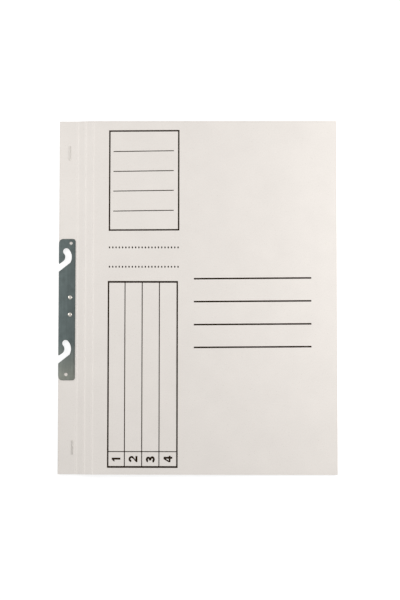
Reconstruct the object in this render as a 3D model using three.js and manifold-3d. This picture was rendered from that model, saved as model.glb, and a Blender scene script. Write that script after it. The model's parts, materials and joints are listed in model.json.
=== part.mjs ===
// Hook-in cardboard file for A4 papers, lying closed on its back cover.
// Millimetres. X runs from the spine fold to the open edge, Y up the page, Z up from the table.
import * as THREE from 'three';
import { mergeVertices } from 'three/addons/utils/BufferGeometryUtils.js';
import Module from 'manifold-3d';

const wasm = await Module();
wasm.setup();

// Cover sheet: back cover, spine fold, margin, two spine strips and front cover
const FILE_WIDTH = 240;
const FILE_HEIGHT = 305;
const BOARD = 0.4;
const CREASE_PITCH = 6.8;
const CREASE_GAP = 0.1;
const CREASE_BEVEL_DEG = 44;
const BEAD_HEIGHT = 0.15;
const BEAD_HALF_WIDTH = 0.8;
const BEAD_CROWN = 0.2;
const OPEN_EDGE_GAP = 0.3;
const COVER_HEADROOM = 0.5;
const FIRST_STRIP_SHARE = 0.63;
const BACK_RAMP_START = 2;
const BACK_RAMP_LENGTH = 20;

// Carrier strip: clamped in the margin, covers the foot of the prong fastener
const CARRIER_BOARD = 0.4;
const CARRIER_INSET_X = 1;
const CARRIER_INSET_Y = 3;
const CARRIER_PAST_FASTENER = 12;
const CARRIER_STEP_START = 1;
const CARRIER_STEP_LENGTH = 4;

// Hanging rail: flat steel plate with two curved hook slots for the rings of a lever arch binder
const RAIL_WIDTH = 14.4;
const RAIL_THICKNESS = 0.5;
const RAIL_CORNER = 2.4;
const RAIL_ABOVE_MIDDLE = 50.7;
const RAIL_BELOW_MIDDLE = 71.3;
const RAIL_TO_CREASE = 1.6;
const HOOK_MIDDLE_Y = 151.8;
const HOOK_PITCH = 80;
const SLOT_WIDTH = 5.9;
const SLOT_RADIUS = 7.2;
const SLOT_LAND = 3.35;
const SLOT_START_DEG = 42;
const SLOT_END_DEG = -50;
const MOUTH_WIDTH = 5.1;
const TOOTH_RADIUS = 1.2;
const PILOT_RADIUS = 1.25;
const UPPER_PILOT = { x: 10.3, fromEnd: 3.9 };
const LOWER_PILOT = { x: 6.7, fromEnd: 4.9 };

// Notches in the boards behind the hook slots
const NOTCH_MARGIN = 1.4;
const NOTCH_CORNER = 2;

// Rivets that hold the rail, the margin, the carrier strip and the back cover together
const RIVET_X = 10;
const RIVET_PITCH = 14.8;
const RIVET_SHANK_RADIUS = 1;
const RIVET_HEAD_RADIUS = 1.75;
const RIVET_HEAD_HEIGHT = 0.7;
const RIVET_HEAD_BRIM = 0.12;
const RIVET_DOME_SHARE = 0.8;
const RIVET_TAIL_HEIGHT = 0.5;
const RIVET_TAIL_RADIUS = 1.9;
const RIVET_BORE_RADIUS = 0.55;
const RIVET_BORE_DEPTH = 1.3;
const HOLE_CLEARANCE = 0.15;

// Staples through the margin, the carrier strip and the back cover
const STAPLE_WIDTH = 0.6;
const STAPLE_WIRE = 0.42;
const STAPLE_SPAN = 12.8;
const STAPLE_LEG_END = 1.5;
const STAPLE_BEND = 0.25;
const STAPLE_FLOAT = 0.03;
const STAPLES = [
  { name: 'staple_upper', x: 8.6, y: 277.2 },
  { name: 'staple_lower', x: 12.2, y: 23 },
];

// Prong fastener: a tinned strip whose ends stand up through the papers and fold inward
const FASTENER_FROM_CREASE = 2.4;
const FASTENER_MIDDLE_Y = 152.5;
const FASTENER_PITCH = 80;
const FASTENER_SHEET = 0.25;
const FASTENER_BEND = 0.3;
const FASTENER_FOOT_WIDTH = 8;
const FASTENER_FOOT_SHORTER = 3;
const PRONG_WIDTH = 5;
const PRONG_TIP_FROM_MIDDLE = 15;
const SLIDING_GAP = 0.05;

// Compressor bar and its two sliding keepers
const BAR_WIDTH = 9;
const BAR_OVERHANG = 8;
const BAR_SHEET = 0.25;
const BAR_FLANGE = 0.3;
const KEEPER_SHEET = 0.2;
const KEEPER_LENGTH = 12;
const KEEPER_LIP = 2;
const KEEPER_FROM_TIP = 1;
const PRONG_HOLE = { width: 6.4, length: 3, corner: 1 };

// Steps in each arc, and how far a cutting tool runs past what it cuts
const ARC_STEPS = 12;
const BEND_STEPS = 5;
const LATHE_STEPS = 20;
const CUT_PAST = 1;

const COLOURS = {
  board: { color: 0xe9e4de, roughness: 0.85, metalness: 0 },
  carrier: { color: 0xc9bfae, roughness: 0.9, metalness: 0 },
  rail: { color: 0x63686a, roughness: 0.42, metalness: 0.9 },
  tinned: { color: 0xb9bcbd, roughness: 0.3, metalness: 1 },
  nickel: { color: 0xc4c3bd, roughness: 0.25, metalness: 1 },
  wire: { color: 0x8d8f8e, roughness: 0.35, metalness: 1 },
};

// Heights of the layers, from the table up
const backUnder = RIVET_TAIL_HEIGHT;
const backInner = backUnder + BOARD;
const marginUnder = backInner + CARRIER_BOARD;
const marginTop = marginUnder + BOARD;
const railTop = marginTop + RAIL_THICKNESS;
const carrierRaised = backInner + FASTENER_SHEET + SLIDING_GAP;
const keeperUnder = carrierRaised + CARRIER_BOARD + SLIDING_GAP;
const barUnder = keeperUnder + KEEPER_SHEET + SLIDING_GAP;
const prongUnder = barUnder + BAR_SHEET + SLIDING_GAP;
const prongTop = prongUnder + FASTENER_SHEET;
const barTop = Math.max(prongTop, barUnder + BAR_SHEET + BAR_FLANGE);
const keeperTop = barTop + SLIDING_GAP + KEEPER_SHEET;

// Crease lines in section, each at the crown of its bead
const crease1X = RAIL_WIDTH + RAIL_TO_CREASE;
const creaseBase = marginTop + BEAD_HEIGHT;
const creaseRise = keeperTop + COVER_HEADROOM + BOARD - marginTop;
const creases = [
  { x: crease1X, z: creaseBase },
  { x: crease1X + CREASE_PITCH, z: creaseBase + creaseRise * FIRST_STRIP_SHARE },
  { x: crease1X + 2 * CREASE_PITCH, z: creaseBase + creaseRise },
];
const fastenerX = creases[2].x + FASTENER_FROM_CREASE;
const carrierEndX = fastenerX + CARRIER_PAST_FASTENER;

// Hook slot section lines, measured from the centre of the slot's arc
const slotCentreX = RAIL_WIDTH - SLOT_LAND - SLOT_RADIUS - SLOT_WIDTH / 2;
const slotInner = SLOT_RADIUS - SLOT_WIDTH / 2;
const slotOuter = SLOT_RADIUS + SLOT_WIDTH / 2;
const slotStart = THREE.MathUtils.degToRad(SLOT_START_DEG);
const slotEnd = THREE.MathUtils.degToRad(SLOT_END_DEG);
const mouthLine = slotInner + MOUTH_WIDTH;
const slotEyeDrop = SLOT_RADIUS * Math.sin(slotStart);
const slotEyesY = [HOOK_MIDDLE_Y - HOOK_PITCH / 2, HOOK_MIDDLE_Y + HOOK_PITCH / 2];
const slotCentresY = slotEyesY.map((eyeY) => eyeY - slotEyeDrop);
const railTopY = HOOK_MIDDLE_Y + RAIL_ABOVE_MIDDLE;
const railBottomY = HOOK_MIDDLE_Y - RAIL_BELOW_MIDDLE;

const rivets = [
  { name: 'rivet_upper', x: RIVET_X, y: HOOK_MIDDLE_Y },
  { name: 'rivet_lower', x: RIVET_X, y: HOOK_MIDDLE_Y - RIVET_PITCH },
];

function extrudeUp(shape, low, high, steps = ARC_STEPS) {
  const settings = { depth: high - low, bevelEnabled: false, curveSegments: steps };
  return new THREE.ExtrudeGeometry(shape, settings).translate(0, 0, low);
}

// A section drawn in X and Z, run along Y
function extrudeAlongY(section, low, high) {
  return extrudeUp(section, -high, -low, 2 * BEND_STEPS).rotateX(Math.PI / 2);
}

// A section drawn in Y and Z, run along X
function extrudeAlongX(section, low, high) {
  return extrudeUp(section, low, high, BEND_STEPS).rotateX(Math.PI / 2).rotateZ(Math.PI / 2);
}

function toSolid(geometry) {
  const bare = geometry.clone();
  bare.deleteAttribute('normal');
  bare.deleteAttribute('uv');
  const merged = mergeVertices(bare);
  const vertProperties = merged.attributes.position.array;
  const triVerts = new Uint32Array(merged.index.array);
  const mesh = new wasm.Mesh({ numProp: 3, vertProperties, triVerts });
  return new wasm.Manifold(mesh);
}

function toGeometry(solid) {
  const { vertProperties, triVerts } = solid.getMesh();
  const geometry = new THREE.BufferGeometry();
  geometry.setAttribute('position', new THREE.BufferAttribute(vertProperties, 3));
  geometry.setIndex(new THREE.BufferAttribute(triVerts, 1));
  return geometry;
}

function cut(geometry, cutters) {
  const remove = (solid, cutter) => solid.subtract(toSolid(cutter));
  return toGeometry(cutters.reduce(remove, toSolid(geometry)));
}

function polar(centreX, centreY, radius, angle) {
  return new THREE.Vector2(centreX + radius * Math.cos(angle), centreY + radius * Math.sin(angle));
}

function roundedRectangle(left, bottom, width, height, radius) {
  const [right, top] = [left + width, bottom + height];
  const shape = new THREE.Shape();
  shape.moveTo(left + radius, bottom);
  shape.absarc(right - radius, bottom + radius, radius, -Math.PI / 2, 0, false);
  shape.absarc(right - radius, top - radius, radius, 0, Math.PI / 2, false);
  shape.absarc(left + radius, top - radius, radius, Math.PI / 2, Math.PI, false);
  shape.absarc(left + radius, bottom + radius, radius, Math.PI, 1.5 * Math.PI, false);
  return shape;
}

// A bar with round ends, along Y
function stadium(x, low, high, radius) {
  const shape = new THREE.Shape();
  shape.absarc(x, low + radius, radius, Math.PI, 2 * Math.PI, false);
  shape.absarc(x, high - radius, radius, 0, Math.PI, false);
  return shape;
}

function circle(x, y, radius) {
  return new THREE.Shape().absarc(x, y, radius, 0, 2 * Math.PI, false);
}

// One bead and bevel at a crease, drawn towards it: side is 1 when the sheet lies left of the crease
function creaseEdge(x, crown, side) {
  const depth = BEAD_HEIGHT + BOARD;
  const lip = x - side * CREASE_GAP / 2;
  const groove = depth * Math.tan(THREE.MathUtils.degToRad(CREASE_BEVEL_DEG));
  return [
    new THREE.Vector2(lip - side * groove, crown - depth),
    new THREE.Vector2(lip, crown),
    new THREE.Vector2(x - side * BEAD_CROWN, crown),
    new THREE.Vector2(x - side * BEAD_HALF_WIDTH, crown - BEAD_HEIGHT),
  ];
}

// Back cover, spine fold and margin in one section, ending at the first crease
function backCoverSection() {
  const foldRadius = (marginTop - backUnder) / 2;
  const foldZ = backUnder + foldRadius;
  const rampStart = carrierEndX + BACK_RAMP_START;
  const rampEnd = rampStart + BACK_RAMP_LENGTH;
  const section = new THREE.Shape();
  section.moveTo(rampEnd, 0);
  section.lineTo(FILE_WIDTH, 0);
  section.lineTo(FILE_WIDTH, BOARD);
  section.lineTo(rampEnd, BOARD);
  section.lineTo(rampStart, backInner);
  section.absarc(foldRadius, foldZ, foldRadius - BOARD, -Math.PI / 2, -1.5 * Math.PI, true);
  creaseEdge(creases[0].x, creases[0].z, 1).forEach(({ x, y }) => section.lineTo(x, y));
  section.absarc(foldRadius, foldZ, foldRadius, Math.PI / 2, 1.5 * Math.PI, false);
  section.lineTo(rampStart, backUnder);
  return section;
}

// The board is cut away behind each hook slot, out through the spine fold
function notchCutters() {
  const right = slotCentreX + slotOuter + NOTCH_MARGIN;
  return slotCentresY.map((centreY) => {
    const top = centreY + slotEyeDrop + SLOT_WIDTH / 2 + NOTCH_MARGIN;
    const bottom = mouthFloorY(centreY) - NOTCH_MARGIN;
    const left = -CUT_PAST - NOTCH_CORNER;
    const outline = roundedRectangle(left, bottom, right - left, top - bottom, NOTCH_CORNER);
    return extrudeUp(outline, -CUT_PAST, railTop + CUT_PAST, BEND_STEPS);
  });
}

function rivetHoles() {
  return rivets.map(({ x, y }) => circle(x, y, RIVET_SHANK_RADIUS + HOLE_CLEARANCE));
}

// Holes through the boards for the rivets and for the two legs of each staple
function fixingHoleCutters() {
  const legY = STAPLE_SPAN / 2 - STAPLE_WIRE / 2;
  const legRadius = Math.hypot(STAPLE_WIDTH, STAPLE_WIRE) / 2 + HOLE_CLEARANCE / 2;
  const legs = STAPLES.flatMap(({ x, y }) => [{ x, y: y - legY }, { x, y: y + legY }]);
  const legHoles = legs.map(({ x, y }) => circle(x, y, legRadius));
  const cutter = (outline) => extrudeUp(outline, -CUT_PAST, railTop + CUT_PAST, 2 * BEND_STEPS);
  return [...rivetHoles(), ...legHoles].map(cutter);
}

function backCoverGeometry() {
  const sheet = extrudeAlongY(backCoverSection(), 0, FILE_HEIGHT);
  return cut(sheet, [...notchCutters(), ...fixingHoleCutters()]);
}

// A strip of the sheet from one crease to the next, with the first crease at the section's origin
function stripGeometry(length) {
  const section = new THREE.Shape([...creaseEdge(length, 0, 1), ...creaseEdge(0, 0, -1).reverse()]);
  return extrudeAlongY(section, 0, FILE_HEIGHT);
}

function frontCoverGeometry(length) {
  const outer = -BEAD_HEIGHT;
  const openEdge = [new THREE.Vector2(length, outer - BOARD), new THREE.Vector2(length, outer)];
  const section = new THREE.Shape([...openEdge, ...creaseEdge(0, 0, -1).reverse()]);
  return extrudeAlongY(section, 0, FILE_HEIGHT);
}

// Where a prong stands, as a distance from the fastener's middle
const prongRoot = FASTENER_PITCH / 2 - FASTENER_SHEET / 2;

function prongSlotCutters() {
  const { width, length, corner } = PRONG_HOLE;
  return [1, -1].map((side) => {
    const bottom = FASTENER_MIDDLE_Y + side * prongRoot - length / 2;
    const outline = roundedRectangle(fastenerX - width / 2, bottom, width, length, corner);
    return extrudeUp(outline, -CUT_PAST, keeperTop, BEND_STEPS);
  });
}

function carrierGeometry() {
  const stepStart = crease1X + CARRIER_STEP_START;
  const stepEnd = stepStart + CARRIER_STEP_LENGTH;
  const under = [[CARRIER_INSET_X, backInner], [stepStart, backInner]];
  const raised = [[stepEnd, carrierRaised], [carrierEndX, carrierRaised]];
  const lower = [...under, ...raised].map(([x, z]) => new THREE.Vector2(x, z));
  const upper = lower.map(({ x, y }) => new THREE.Vector2(x, y + CARRIER_BOARD)).reverse();
  const section = new THREE.Shape([...lower, ...upper]);
  const strip = extrudeAlongY(section, CARRIER_INSET_Y, FILE_HEIGHT - CARRIER_INSET_Y);
  return cut(strip, [...notchCutters(), ...fixingHoleCutters(), ...prongSlotCutters()]);
}

// Lowest point of a slot's mouth on the rail's spine edge
function mouthFloorY(centreY) {
  return centreY + (mouthLine + slotCentreX * Math.cos(slotEnd)) / Math.sin(slotEnd);
}

// Highest point of a slot's mouth on the rail's spine edge, at the tip of the tooth
function mouthRoofY(centreY) {
  return centreY + (slotInner + slotCentreX * Math.cos(slotEnd)) / Math.sin(slotEnd);
}

// One hook slot, drawn as part of the rail's spine edge from its mouth's floor to its roof
function addHookSlot(outline, centreY) {
  const floorAngle = slotEnd + Math.acos(mouthLine / slotOuter);
  const eye = polar(slotCentreX, centreY, SLOT_RADIUS, slotStart);
  const roof = new THREE.Vector2(0, mouthRoofY(centreY));
  const toothBase = polar(slotCentreX, centreY, slotInner, slotEnd);
  const beforeTip = toothBase.clone().sub(roof).setLength(TOOTH_RADIUS).add(roof);
  outline.lineTo(0, mouthFloorY(centreY));
  outline.absarc(slotCentreX, centreY, slotOuter, floorAngle, slotStart, false);
  outline.absarc(eye.x, eye.y, SLOT_WIDTH / 2, slotStart, slotStart + Math.PI, false);
  outline.absarc(slotCentreX, centreY, slotInner, slotStart, slotEnd, true);
  outline.lineTo(beforeTip.x, beforeTip.y);
  outline.quadraticCurveTo(roof.x, roof.y, roof.x, roof.y + TOOTH_RADIUS);
}

function hangingRailGeometry() {
  const radius = RAIL_CORNER;
  const outline = new THREE.Shape();
  outline.moveTo(radius, railTopY);
  outline.absarc(RAIL_WIDTH - radius, railTopY - radius, radius, Math.PI / 2, 0, true);
  outline.absarc(RAIL_WIDTH - radius, railBottomY + radius, radius, 0, -Math.PI / 2, true);
  outline.absarc(radius, railBottomY + radius, radius, -Math.PI / 2, -Math.PI, true);
  slotCentresY.forEach((centreY) => addHookSlot(outline, centreY));
  outline.absarc(radius, railTopY - radius, radius, Math.PI, Math.PI / 2, true);
  const upperPilot = circle(UPPER_PILOT.x, railTopY - UPPER_PILOT.fromEnd, PILOT_RADIUS);
  const lowerPilot = circle(LOWER_PILOT.x, railBottomY + LOWER_PILOT.fromEnd, PILOT_RADIUS);
  outline.holes = [...rivetHoles(), upperPilot, lowerPilot];
  return extrudeUp(outline, marginTop, railTop);
}

// Hollow tail rolled over the back cover, then the shank, then the domed head
function rivetGeometry() {
  const profile = new THREE.Path();
  const tailRoll = RIVET_TAIL_HEIGHT / 2;
  const crown = railTop + RIVET_HEAD_HEIGHT;
  profile.moveTo(0, RIVET_BORE_DEPTH);
  profile.lineTo(RIVET_BORE_RADIUS, RIVET_BORE_DEPTH);
  profile.lineTo(RIVET_BORE_RADIUS, tailRoll);
  profile.quadraticCurveTo(RIVET_BORE_RADIUS, 0, RIVET_SHANK_RADIUS, 0);
  profile.lineTo(RIVET_TAIL_RADIUS - tailRoll, 0);
  profile.absarc(RIVET_TAIL_RADIUS - tailRoll, tailRoll, tailRoll, -Math.PI / 2, Math.PI / 2, false);
  profile.lineTo(RIVET_SHANK_RADIUS, RIVET_TAIL_HEIGHT);
  profile.lineTo(RIVET_SHANK_RADIUS, railTop);
  profile.lineTo(RIVET_HEAD_RADIUS, railTop);
  profile.lineTo(RIVET_HEAD_RADIUS, railTop + RIVET_HEAD_BRIM);
  profile.quadraticCurveTo(RIVET_HEAD_RADIUS * RIVET_DOME_SHARE, crown, 0, crown);
  return new THREE.LatheGeometry(profile.getPoints(BEND_STEPS), LATHE_STEPS).rotateX(Math.PI / 2);
}

// A flat strip bent into a C, open at the top: foot at height 0, arms folded in at the given depth
function bentStripGeometry({ halfSpan, depth, sheet, bend, tip, width }) {
  const inner = bend;
  const outer = bend + sheet;
  const corner = halfSpan - outer;
  const [low, high] = [outer, depth - outer];
  const section = new THREE.Shape();
  section.moveTo(tip, depth - sheet);
  section.absarc(corner, high, inner, Math.PI / 2, 0, true);
  section.absarc(corner, low, inner, 0, -Math.PI / 2, true);
  section.absarc(-corner, low, inner, -Math.PI / 2, -Math.PI, true);
  section.absarc(-corner, high, inner, Math.PI, Math.PI / 2, true);
  section.lineTo(-tip, depth - sheet);
  section.lineTo(-tip, depth);
  section.absarc(-corner, high, outer, Math.PI / 2, Math.PI, false);
  section.absarc(-corner, low, outer, Math.PI, 1.5 * Math.PI, false);
  section.absarc(corner, low, outer, -Math.PI / 2, 0, false);
  section.absarc(corner, high, outer, 0, Math.PI / 2, false);
  section.lineTo(tip, depth);
  return extrudeAlongX(section, -width / 2, width / 2);
}

function stapleGeometry() {
  return bentStripGeometry({
    halfSpan: STAPLE_SPAN / 2,
    depth: marginTop - backUnder + 2 * (STAPLE_WIRE + STAPLE_FLOAT),
    sheet: STAPLE_WIRE,
    bend: STAPLE_BEND,
    tip: STAPLE_LEG_END,
    width: STAPLE_WIDTH,
  });
}

// Two prongs with rounded tips, standing on the ends of a wider foot
function prongFastenerGeometry() {
  const halfSpan = FASTENER_PITCH / 2;
  const depth = prongTop - backInner;
  const strip = toSolid(bentStripGeometry({
    halfSpan,
    depth,
    sheet: FASTENER_SHEET,
    bend: FASTENER_BEND,
    tip: PRONG_TIP_FROM_MIDDLE,
    width: PRONG_WIDTH,
  }));
  const footEnd = halfSpan - FASTENER_FOOT_SHORTER;
  const footOutline = stadium(0, -footEnd, footEnd, FASTENER_FOOT_WIDTH / 2);
  const foot = toSolid(extrudeUp(footOutline, 0, FASTENER_SHEET));
  const prongs = [1, -1].map((side) => {
    const ends = [side * PRONG_TIP_FROM_MIDDLE, side * (halfSpan + PRONG_WIDTH)];
    const outline = stadium(0, Math.min(...ends), Math.max(...ends), PRONG_WIDTH / 2);
    return strip.intersect(toSolid(extrudeUp(outline, -CUT_PAST, depth + CUT_PAST)));
  });
  return toGeometry(prongs.reduce((whole, prong) => whole.add(prong), foot));
}

// A shallow channel with round ends and a hole for each prong
function compressorBarGeometry() {
  const half = BAR_WIDTH / 2;
  const innerHalf = half - BAR_SHEET;
  const floor = barUnder + BAR_SHEET;
  const rim = floor + BAR_FLANGE;
  const profile = [[-half, barUnder], [half, barUnder], [half, rim], [innerHalf, rim]];
  const inside = [[innerHalf, floor], [-innerHalf, floor], [-innerHalf, rim], [-half, rim]];
  const points = [...profile, ...inside].map(([x, z]) => new THREE.Vector2(fastenerX + x, z));
  const reach = FASTENER_PITCH / 2 + BAR_OVERHANG;
  const [low, high] = [FASTENER_MIDDLE_Y - reach, FASTENER_MIDDLE_Y + reach];
  const channel = toSolid(extrudeAlongY(new THREE.Shape(points), low, high));
  const plan = toSolid(extrudeUp(stadium(fastenerX, low, high, half), 0, rim + CUT_PAST));
  return cut(toGeometry(channel.intersect(plan)), prongSlotCutters());
}

// A sleeve bent round the bar, open underneath between its two lips
function keeperGeometry() {
  const inner = BAR_WIDTH / 2 + SLIDING_GAP;
  const outer = inner + KEEPER_SHEET;
  const lip = outer - KEEPER_LIP;
  const [under, top] = [keeperUnder, keeperTop];
  const right = [[lip, under], [outer, under], [outer, top]];
  const left = [[-outer, top], [-outer, under], [-lip, under], [-lip, under + KEEPER_SHEET]];
  const insideLeft = [[-inner, under + KEEPER_SHEET], [-inner, top - KEEPER_SHEET]];
  const insideRight = insideLeft.map(([x, z]) => [-x, z]).reverse();
  const lipEdge = [[lip, under + KEEPER_SHEET]];
  const corners = [...right, ...left, ...insideLeft, ...insideRight, ...lipEdge];
  const points = corners.map(([x, z]) => new THREE.Vector2(x, z));
  return extrudeAlongY(new THREE.Shape(points), -KEEPER_LENGTH / 2, KEEPER_LENGTH / 2);
}

const file = new THREE.Group();
file.position.set(-FILE_WIDTH / 2, -FILE_HEIGHT / 2, 0);

function addPiece(name, geometry, finish, position = [0, 0, 0], turnAboutY = 0) {
  const mesh = new THREE.Mesh(geometry, new THREE.MeshStandardMaterial(COLOURS[finish]));
  mesh.name = name;
  mesh.position.set(...position);
  mesh.rotation.y = turnAboutY;
  file.add(mesh);
}

function addCovers() {
  const [first, second, third] = creases;
  addPiece('back_cover', backCoverGeometry(), 'board');
  [[first, second], [second, third]].forEach(([from, to], index) => {
    const length = Math.hypot(to.x - from.x, to.z - from.z);
    const rise = Math.atan2(to.z - from.z, to.x - from.x);
    addPiece(`spine_strip_${index + 1}`, stripGeometry(length), 'board', [from.x, 0, from.z], -rise);
  });
  const depth = BEAD_HEIGHT + BOARD;
  const run = FILE_WIDTH - third.x;
  const slope = Math.atan2(third.z - depth - (BOARD + OPEN_EDGE_GAP), run);
  const length = (run - depth * Math.sin(slope)) / Math.cos(slope);
  addPiece('front_cover', frontCoverGeometry(length), 'board', [third.x, 0, third.z], slope);
}

function addFastener() {
  addPiece('carrier_strip', carrierGeometry(), 'carrier');
  addPiece('prong_fastener', prongFastenerGeometry(), 'tinned', [fastenerX, FASTENER_MIDDLE_Y, backInner]);
  addPiece('compressor_bar', compressorBarGeometry(), 'tinned');
  const fromMiddle = PRONG_TIP_FROM_MIDDLE + KEEPER_FROM_TIP + KEEPER_LENGTH / 2;
  const keeper = keeperGeometry();
  addPiece('keeper_upper', keeper, 'tinned', [fastenerX, FASTENER_MIDDLE_Y + fromMiddle, 0]);
  addPiece('keeper_lower', keeper, 'tinned', [fastenerX, FASTENER_MIDDLE_Y - fromMiddle, 0]);
}

function addRail() {
  addPiece('hanging_rail', hangingRailGeometry(), 'rail');
  const rivet = rivetGeometry();
  rivets.forEach(({ name, x, y }) => addPiece(name, rivet, 'nickel', [x, y, 0]));
  const staple = stapleGeometry();
  const crownTop = marginTop + STAPLE_WIRE + STAPLE_FLOAT;
  STAPLES.forEach(({ name, x, y }) => addPiece(name, staple, 'wire', [x, y, crownTop], Math.PI));
}

addCovers();
addFastener();
addRail();

export default file;
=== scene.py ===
"""Looks of a closed hook-in cardboard file with a steel hanging rail, seen from above.

Places and sizes of the fixed pieces come from the frame. Lengths that the frame doesn't hold are
written in millimetres, places from the spine fold (x), the bottom edge (y) and the table (z), and
in_frame turns them into the frame's metres.
"""

import json
import logging
import math
from dataclasses import dataclass, field
from enum import Enum
from functools import reduce
from typing import Callable, Sequence

import bpy
from mathutils import Matrix, Vector
from mathutils.geometry import tessellate_polygon

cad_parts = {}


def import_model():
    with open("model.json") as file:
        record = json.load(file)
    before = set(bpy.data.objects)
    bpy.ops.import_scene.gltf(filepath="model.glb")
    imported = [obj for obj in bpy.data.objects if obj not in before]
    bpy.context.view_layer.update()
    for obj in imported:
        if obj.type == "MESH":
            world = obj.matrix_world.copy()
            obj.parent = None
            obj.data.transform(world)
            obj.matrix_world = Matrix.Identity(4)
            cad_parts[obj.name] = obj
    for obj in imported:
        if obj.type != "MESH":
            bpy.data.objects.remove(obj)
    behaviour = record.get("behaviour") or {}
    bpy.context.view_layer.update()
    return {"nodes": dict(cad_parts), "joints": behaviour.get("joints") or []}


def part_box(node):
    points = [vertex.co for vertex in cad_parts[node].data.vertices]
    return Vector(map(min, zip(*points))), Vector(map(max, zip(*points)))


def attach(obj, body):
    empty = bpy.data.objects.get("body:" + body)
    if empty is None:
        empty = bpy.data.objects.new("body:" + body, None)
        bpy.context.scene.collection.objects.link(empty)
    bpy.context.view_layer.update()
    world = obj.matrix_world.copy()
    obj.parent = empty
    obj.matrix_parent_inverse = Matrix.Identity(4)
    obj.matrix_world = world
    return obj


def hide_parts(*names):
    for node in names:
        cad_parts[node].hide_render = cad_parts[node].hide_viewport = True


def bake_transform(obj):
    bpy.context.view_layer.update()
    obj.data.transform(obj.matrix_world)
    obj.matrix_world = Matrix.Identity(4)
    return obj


log = logging.getLogger("hook_in_file")

MM = 0.001
FILE_WIDTH = 240.0
FILE_HEIGHT = 305.0
RIVETS = ("rivet_upper", "rivet_lower")
RIVET_HOLE = 1.15
CORNER_STEPS = 8
SAME_PLACE = 1e-4
NO_AREA = 1e-9
LEAST_SPREAD = 0.35
REST_PLACE = "rest_place"
NOISE_LOW = 0.3
NOISE_HIGH = 0.7

Point = tuple[float, float]
Outline = list[Point]
Station = tuple[Point, Point]
Socket = bpy.types.NodeSocket
Colour = tuple[int, int, int]
Place = tuple[float, float, float]
Lift = Callable[[float, float, float], Place]
Pieces = list[bpy.types.Object]


def linear(colour: Colour) -> tuple[float, float, float, float]:
    """Turns a colour as seen on screen into the light values that shaders take.

    Args:
        colour: Red, green and blue, 0 to 255.

    Returns:
        Linear red, green and blue with full alpha.
    """
    def channel(value: int) -> float:
        """Undoes the screen's curve for one channel."""
        share = value / 255
        return share / 12.92 if share <= 0.04045 else ((share + 0.055) / 1.055) ** 2.4

    red, green, blue = colour
    return channel(red), channel(green), channel(blue), 1.0


def in_frame(x: float, y: float, z: float) -> Place:
    """Turns millimetres from the file's corner into the frame's metres.

    Args:
        x: Millimetres from the spine fold.
        y: Millimetres from the bottom edge.
        z: Millimetres above the table.

    Returns:
        The place in the frame.
    """
    return (x - FILE_WIDTH / 2) * MM, (y - FILE_HEIGHT / 2) * MM, z * MM


def node_box(node: str) -> tuple[Vector, Vector]:
    """Gives a CAD node's box in millimetres from the file's corner.

    Args:
        node: The node's name.

    Returns:
        Its lowest and its highest corner.
    """
    shift = Vector((FILE_WIDTH / 2, FILE_HEIGHT / 2, 0.0))
    low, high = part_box(node)
    return low / MM + shift, high / MM + shift


def node_centre(node: str) -> Point:
    """Gives the middle of a CAD node seen from above, in millimetres."""
    low, high = node_box(node)
    return (low.x + high.x) / 2, (low.y + high.y) / 2


def smoothstep(value: float) -> float:
    """Rises smoothly from 0 to 1 while the value does, and stays level outside."""
    share = min(max(value, 0.0), 1.0)
    return share * share * (3 - 2 * share)


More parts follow.
